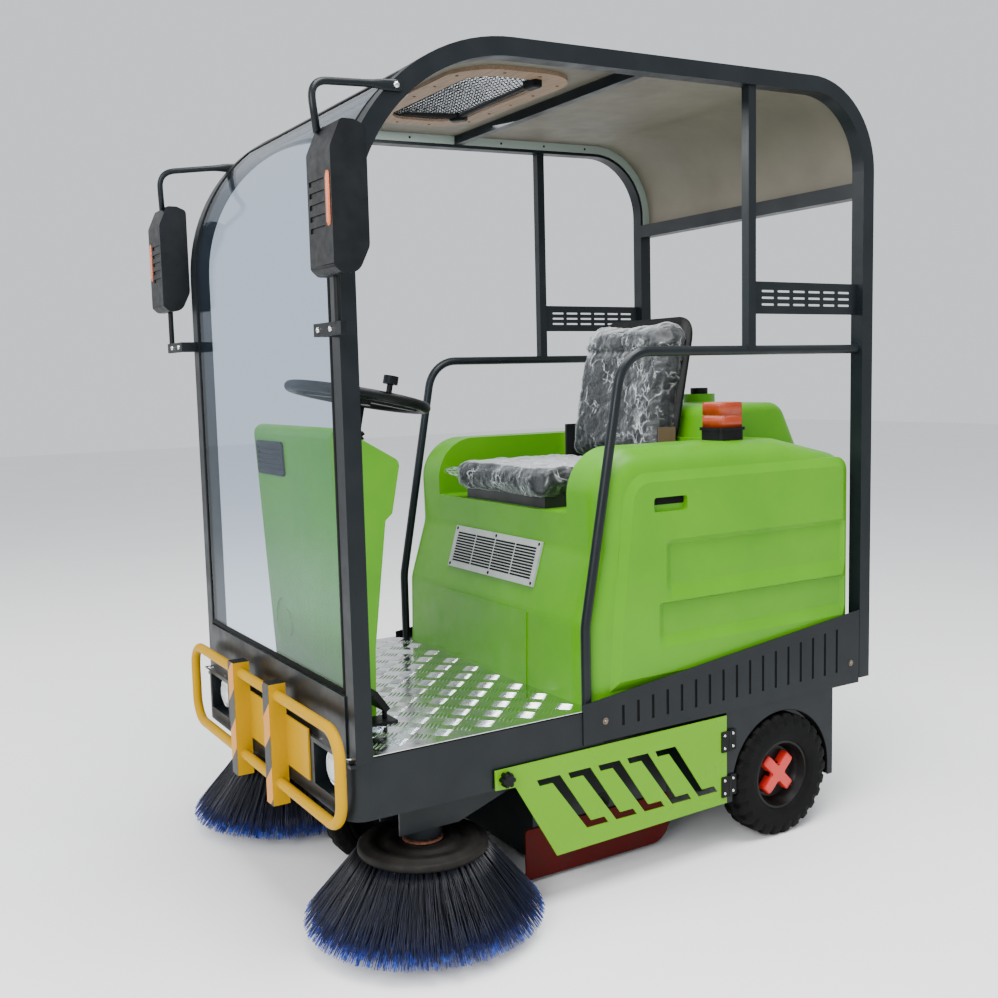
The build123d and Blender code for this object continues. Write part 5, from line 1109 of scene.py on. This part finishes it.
class SWEEPER_OT_fasteners(bpy.types.Operator):
    """Frame bolts and washers, dark linings of the arches, painted shade in the skirt slots, side pockets and
    grille slots, and the grille's screws
    """

    bl_idname = "sweeper.fasteners"
    bl_label = "Fasteners"

    def execute(self, context):
        for side, sign in SIDES:
            spots = [(sign * x, y, z) for x, y, z in BAND_BOLTS]
            bolts = [studs(spots, (sign, 0, 0), HEXAGON, 6), studs(spots, (sign, 0, 0), WASHER, 20)]
            spots = [(sign * 0.475, 0.832, z) for z in (1.726, 1.345)]
            bolts.append(studs(spots, (0, 1, 0), HEXAGON, 6))
            piece(f"frame_bolts_{side}", join(bolts), "chassis", "bright_metal", False, "zinc")
            linings_and_slot_shade = []
            u, v = (0, sign, 0), (0, 0, 1)
            # Painted shade: a black pad sits inside each slot of the door skirt, where there is only shade.
            for share in np.linspace(0, 1, SLOTS):
                y, bottom, top = (first + run * share for first, run in zip(FIRST_SLOT, SLOT_RUN))
                at = (sign * 0.4938, y * MM, (bottom + top) / 2 * MM)
                linings_and_slot_shade.append(pad(rounded(3.8, (top - bottom) / 2 - 0.2, 0.5, 2), ((1, 0), (1, 1.2)), at, u, v))
            linings_and_slot_shade.append(pad(rounded(331, 1.6, 0.3, 2), ((1, 0), (1, 0.6)), (sign * 0.494, -0.431, 0.4520), u, v))
            turn = np.radians(np.linspace(-11, 191, 61))
            outward = np.stack([0 * turn, np.cos(turn), np.sin(turn)], -1)
            line = np.array((sign * 0.4935, *ARCH_AT)) + outward * ARCH_R
            linings_and_slot_shade.append(ribbon(line, outward, np.array((-sign, 0.0, 0.0)), LIP))
            piece(f"dark_linings_and_slot_shade_{side}", join(linings_and_slot_shade), "chassis", "frame_paint", False, "black_rubber")
        edge = pad(rounded(493, 2.8, 0.3, 2), ((1, 0), (1, 0.7)), (0, -0.762, 0.4530), (1, 0, 0), (0, 0, 1))
        piece("front_edge", edge, "chassis", "frame_paint", False)
        low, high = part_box("grille")
        depth, rise = high.y - low.y, high.z - low.z
        lean = np.array((0.119 * depth - 0.010 * rise, 0.119 * rise - 0.010 * depth)) / (0.119 ** 2 - 0.010 ** 2)
        up, out = np.array((0.0, lean[0], lean[1])), np.array((0.0, -lean[1], lean[0]))
        face = np.array((low + high) / 2) + out * 0.005
        spots = [face + np.array((x, 0.0, 0.0)) + up * rise
                 for x in (-0.212, 0.0, 0.212) for rise in (-0.0515, 0.0515)]
        screws = studs(spots, out, ((4.4, -0.6), (4.4, 0.9), (2.6, 2.0)), 12)
        piece("grille_screws", screws, "chassis", "bright_metal", finish="black_plastic")
        # Painted shade: a black pad sits a little behind the face in each of the grille's slots, where there is
        # only shade.
        opening = rounded(SLOT_SHADE_WIDE * 500 - 1.6, SLOT_SHADE_TALL * 333.3 - 0.04, 0.3, 2)
        slot_shades = []
        for column in range(4):
            for row in range(11):
                across = np.array(((column - 1.5) * SLOT_SHADE_WIDE, 0.0, 0.0))
                at = face - out * 0.0018 + across + up * (row - 5) * SLOT_SHADE_TALL
                slot_shades.append(pad(opening, ((1, 0), (1, 0.8)), at, (1, 0, 0), up))
        piece("grille_slot_shade", join(slot_shades), "chassis", "grille_metal", False, "black_rubber")
        # Painted shade: black pads in the side pockets.
        shades = [pad(rounded(51, 9.0, 4, 3), ((1, 0), (1, 0.5)), (sign * 0.4722, 0.123, 0.9345), (0, sign, 0),
                      (0, 0, 1)) for _, sign in SIDES]
        piece("pocket_shade", join(shades), "chassis", "body_green", False, "black_rubber")
        return {"FINISHED"}


# ---------------------------------------------------------------- seat
VOXEL = 0.0065
CLOTH_FRAMES = 20


def fresh_copy(name, node):
    """Object with a copy of a CAD node's mesh, for a piece worked up from it."""
    mesh = NODES[node].data.copy()
    mesh.name = name
    return new_object(name, mesh)


def apply_all(obj):
    """The object's mesh with its modifiers applied."""
    depsgraph = bpy.context.evaluated_depsgraph_get()
    made = bpy.data.meshes.new_from_object(obj.evaluated_get(depsgraph))
    obj.modifiers.clear()
    obj.data = made


def points_of(obj):
    """Points of the object's mesh as an array."""
    flat = np.empty(len(obj.data.vertices) * 3, np.float32)
    obj.data.vertices.foreach_get("co", flat)
    return flat.reshape(-1, 3).astype(float)


def set_points(obj, points):
    """Write an array of points back to the object's mesh."""
    obj.data.vertices.foreach_set("co", np.asarray(points, np.float32).reshape(-1))
    obj.data.update()


def stuffed(name, node, shrink_mm, cap_mm, seam):
    """Padded piece blown up from its CAD form: drawn in, remeshed, pressed out as cloth, capped, then sewn."""
    obj = fresh_copy(name, node)
    low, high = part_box(node)
    weld = obj.modifiers.new("weld", "WELD")
    weld.merge_threshold = 0.0002
    remesh = obj.modifiers.new("remesh", "REMESH")
    remesh.mode = "VOXEL"
    remesh.voxel_size = VOXEL
    apply_all(obj)
    start = points_of(obj)
    middle = (start.min(0) + start.max(0)) / 2
    half = (start.max(0) - start.min(0)) / 2
    start = middle + (start - middle) * (1 - shrink_mm * MM / half)
    set_points(obj, start)
    cloth = obj.modifiers.new("cloth", "CLOTH")
    cloth.settings.use_pressure = True
    cloth.settings.uniform_pressure_force = 4.0
    cloth.settings.effector_weights.gravity = 0.0
    for index in range(1, CLOTH_FRAMES + 1):
        bpy.context.scene.frame_set(index)
    apply_all(obj)
    bpy.context.scene.frame_set(1)
    moved = points_of(obj) - start
    length = np.linalg.norm(moved, axis=1, keepdims=True)
    start = start + moved * np.minimum(1.0, cap_mm * MM / np.maximum(length, 1e-9))
    start = seam(start)
    set_points(obj, np.clip(start, np.array(low), np.array(high)))
    smooth = obj.modifiers.new("smooth", "SUBSURF")
    smooth.levels = smooth.render_levels = 1
    apply_all(obj)
    dress(obj, "chassis", "seat_vinyl", smooth=True)
    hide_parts(node)
    return obj


def film_over(name, source):
    """Crumpled clear film over a padded piece: its surface pushed out by folds of two sizes."""
    obj = new_object(name, source.data.copy())
    for size, strength in ((0.075, 0.012), (0.028, 0.006)):
        folds = bpy.data.textures.new(f"{name}_folds_{size}", "VORONOI")
        folds.noise_scale = size
        folds.weight_1 = -1.0
        folds.weight_2 = 1.0
        push = obj.modifiers.new("folds", "DISPLACE")
        push.texture = folds
        push.texture_coords = "LOCAL"
        push.strength = strength
        push.mid_level = -0.08
    apply_all(obj)
    dress(obj, "chassis", "clear_sheet", "film", True)


def cushion_seam(points):
    """Shallow hollow in the middle of the cushion, with a sewn channel across its front third."""
    low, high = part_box("seat_cushion")
    y = (points[:, 1] - low.y) / (high.y - low.y)
    x = points[:, 0] / (high.x - low.x)
    top = points[:, 2] > high.z - 0.035
    dent = 0.6 * np.exp(-((y - 0.22) / 0.02) ** 2) + 0.8 * np.exp(-(x / 0.3) ** 4 - ((y - 0.6) / 0.3) ** 4)
    points = points.copy()
    points[:, 2] -= np.where(top, 0.010 * dent, 0.0)
    return points


def back_seam(points):
    """Head roll at the top of the backrest and a hollow between its side rolls."""
    low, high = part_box("seat_back")
    z = (points[:, 2] - low.z) / (high.z - low.z)
    x = points[:, 0] / (high.x - low.x)
    lean = low.y + (high.y - low.y - 0.075) * z
    front = points[:, 1] < lean + 0.03
    dent = 0.8 * np.exp(-((z - 0.77) / 0.025) ** 2) + np.exp(-(x / 0.27) ** 4 - ((z - 0.4) / 0.33) ** 6)
    points = points.copy()
    points[:, 1] += np.where(front, 0.011 * dent, 0.0)
    return points


def film_tail():
    """Loose corner of the film beside the cushion: a strip that narrows to a tip, waved more towards its middle."""
    s, w = np.meshgrid(np.linspace(0, 1, 14), np.linspace(-1, 1, 9), indexing="ij")
    s, w = s[..., None], w[..., None]
    root = np.array((-0.202, -0.072, 0.975)) + w * np.array((0.008, -0.004, 0.022))
    tip = np.array((-0.245, -0.107, 0.984)) + w * np.array((0.002, 0.003, 0.004))
    points = (1 - s) * root + s * tip + np.sin(9 * w + 8 * s) * s * (1.1 - s) * np.array((0.004, 0.008, 0.007))
    tail = piece("film_tail", (points, grid_faces(14, 9)), "chassis", "clear_sheet", True, "film")
    thick = tail.modifiers.new("thickness", "SOLIDIFY")
    thick.thickness = 0.0004
    apply_all(tail)


class SWEEPER_OT_brackets(bpy.types.Operator):
    """Tan enamel on the brackets of the backrest and the dark shell behind its padding"""

    bl_idname = "sweeper.brackets"
    bl_label = "Seat brackets"

    def execute(self, context):
        tops = [pad(rounded(30.4, 97.4, 1, 2), ((1, 0), (1, 0.8)), (sign * 0.221, 0.332, 1.0025), (0, sign, 0),
                    (0, 0, 1)) for _, sign in SIDES]
        piece("bracket_faces", join(tops), "chassis", "seat_metal", False, "tan_enamel")
        up = np.array((0.0, 87.0, 425.0)) / (87.0 ** 2 + 425.0 ** 2) ** 0.5
        centre = np.array((0.0, 0.4035, 1.1975)) + up * 0.02
        shell = pad(rounded(206, 190, 60, 8), ((1, -2), (1, 6), (0.97, 12), (0.6, 15)), centre, (-1, 0, 0), up)
        piece("back_shell", shell, "chassis", "seat_vinyl", True, "black_plastic")
        return {"FINISHED"}


class SWEEPER_OT_seat(bpy.types.Operator):
    """Seat cushion and backrest, both under crumpled clear film"""

    bl_idname = "sweeper.seat"
    bl_label = "Seat"

    def execute(self, context):
        for name, node, seam in (("cushion", "seat_cushion", cushion_seam), ("backrest", "seat_back", back_seam)):
            padding = stuffed(name, node, 9, 24, seam)
            film_over(f"{name}_film", padding)
        film_tail()
        return {"FINISHED"}


# ---------------------------------------------------------------- tyres
def tread_section(rim, radius, half, count):
    """Closed tyre section of (radius, across) in mm: beads, bulged side walls and a nearly flat tread."""
    corner = 14.0
    key = np.array((
        (rim, -half + 9), (rim + 4, -half + 3), (rim + 18, -half), (radius - corner - 8, -half),
        (radius - 5, -half + 5), (radius, -half + corner), (radius, 0), (radius, half - corner),
        (radius - 5, half - 5), (radius - corner - 8, half), (rim + 18, half), (rim + 4, half - 3), (rim, half - 9),
    ))
    length = np.concatenate([[0], np.cumsum(np.linalg.norm(np.diff(key, axis=0), axis=1))])
    at = np.linspace(0, length[-1], count)
    return np.stack([np.interp(at, length, key[:, 0]), np.interp(at, length, key[:, 1])], -1)


def block_tyre(centre, rim, radius, half, blocks, depth):
    """Tyre surface: a section swept round the axle, sunk between shoulder blocks that alternate left and right."""
    section = tread_section(rim, radius, half, 61)
    angle = np.linspace(0, 2 * pi, blocks * 16, endpoint=False)
    across = section[None, :, 1]
    turn = angle[:, None] * blocks / (2 * pi) + 0.5 * (across > 0) + 0.16 * np.abs(across) / half
    phase = np.abs((turn % 1.0) - 0.5) * 2
    gap = 1 / (1 + np.exp(-(phase - 0.62) * 26))
    reach = np.clip((section[None, :, 0] - (radius - 30)) / 10, 0, 1)
    centre_rib = 1 / (1 + np.exp(-(np.abs(across) - 4.5) * 1.6))
    zigzag = 3.5 * np.abs(((angle[:, None] * blocks / (2 * pi)) % 1.0) - 0.5)
    groove = np.exp(-((np.abs(across) - 9 - zigzag) / 2.2) ** 2) * (section[None, :, 0] > radius - 8)
    sunk = depth * np.maximum(gap * reach * centre_rib, 0.8 * groove)
    inward = np.stack([np.ones_like(section[:, 0]), 0.25 * np.sign(section[:, 1])], -1)
    radial = section[None, :, 0] - sunk * inward[None, :, 0]
    side = section[None, :, 1] - sunk * inward[None, :, 1] * (section[None, :, 0] < radius - 4)
    points = np.stack([side, radial * np.cos(angle)[:, None], radial * np.sin(angle)[:, None]], -1) * MM
    return points.reshape(-1, 3) + np.asarray(centre), grid_faces(len(angle), len(section), True, True)


class SWEEPER_OT_tyres(bpy.types.Operator):
    """Tyres with shoulder blocks and a zigzag groove"""

    bl_idname = "sweeper.tyres"
    bl_label = "Tyres"

    def execute(self, context):
        for node, body, rim, blocks, deep in (("rear_tyre_left", "rear_wheel_left", 92, 26, 7.0),
                                              ("rear_tyre_right", "rear_wheel_right", 92, 26, 7.0),
                                              ("front_tyre", "front_wheel", 84, 24, 3.0)):
            low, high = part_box(node)
            centre = (low + high) / 2
            radius, half = (high.z - low.z) / 2 / MM, (high.x - low.x) / 2 / MM
            shape = block_tyre(centre, rim, radius - 0.05, half, blocks, deep)
            tyre = piece(f"tread_{node}", shape, body, "tyre")
            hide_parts(node)
        return {"FINISHED"}


STEPS = (
    SWEEPER_OT_finishes, SWEEPER_OT_side_brushes, SWEEPER_OT_roller, SWEEPER_OT_chequer, SWEEPER_OT_hatch,
    SWEEPER_OT_seals, SWEEPER_OT_guard, SWEEPER_OT_mirrors, SWEEPER_OT_doors, SWEEPER_OT_wheels, SWEEPER_OT_lamps,
    SWEEPER_OT_fasteners, SWEEPER_OT_brackets, SWEEPER_OT_seat, SWEEPER_OT_tyres, SWEEPER_OT_stage,
)


class SWEEPER_PT_panel(bpy.types.Panel):
    """Sidebar panel with the sweeper's settings and steps"""

    bl_idname = "SWEEPER_PT_panel"
    bl_label = "Road sweeper"
    bl_space_type = "VIEW_3D"
    bl_region_type = "UI"
    bl_category = "Sweeper"

    def draw(self, context):
        for name in SweeperSettings.__annotations__:
            self.layout.prop(context.scene.sweeper, name)
        for step in STEPS:
            self.layout.operator(step.bl_idname)


CLASSES = (SweeperSettings, *STEPS, SWEEPER_PT_panel)


def register():
    """Register the classes and the settings."""
    for cls in CLASSES:
        bpy.utils.register_class(cls)
    bpy.types.Scene.sweeper = PointerProperty(type=SweeperSettings)


def unregister():
    """Take the settings and classes away again."""
    del bpy.types.Scene.sweeper
    for cls in reversed(CLASSES):
        bpy.utils.unregister_class(cls)


def main():
    """Run every step in order."""
    register()
    for step in STEPS:
        group, name = step.bl_idname.split(".")
        getattr(getattr(bpy.ops, group), name)()


if __name__ == "__main__":
    main()
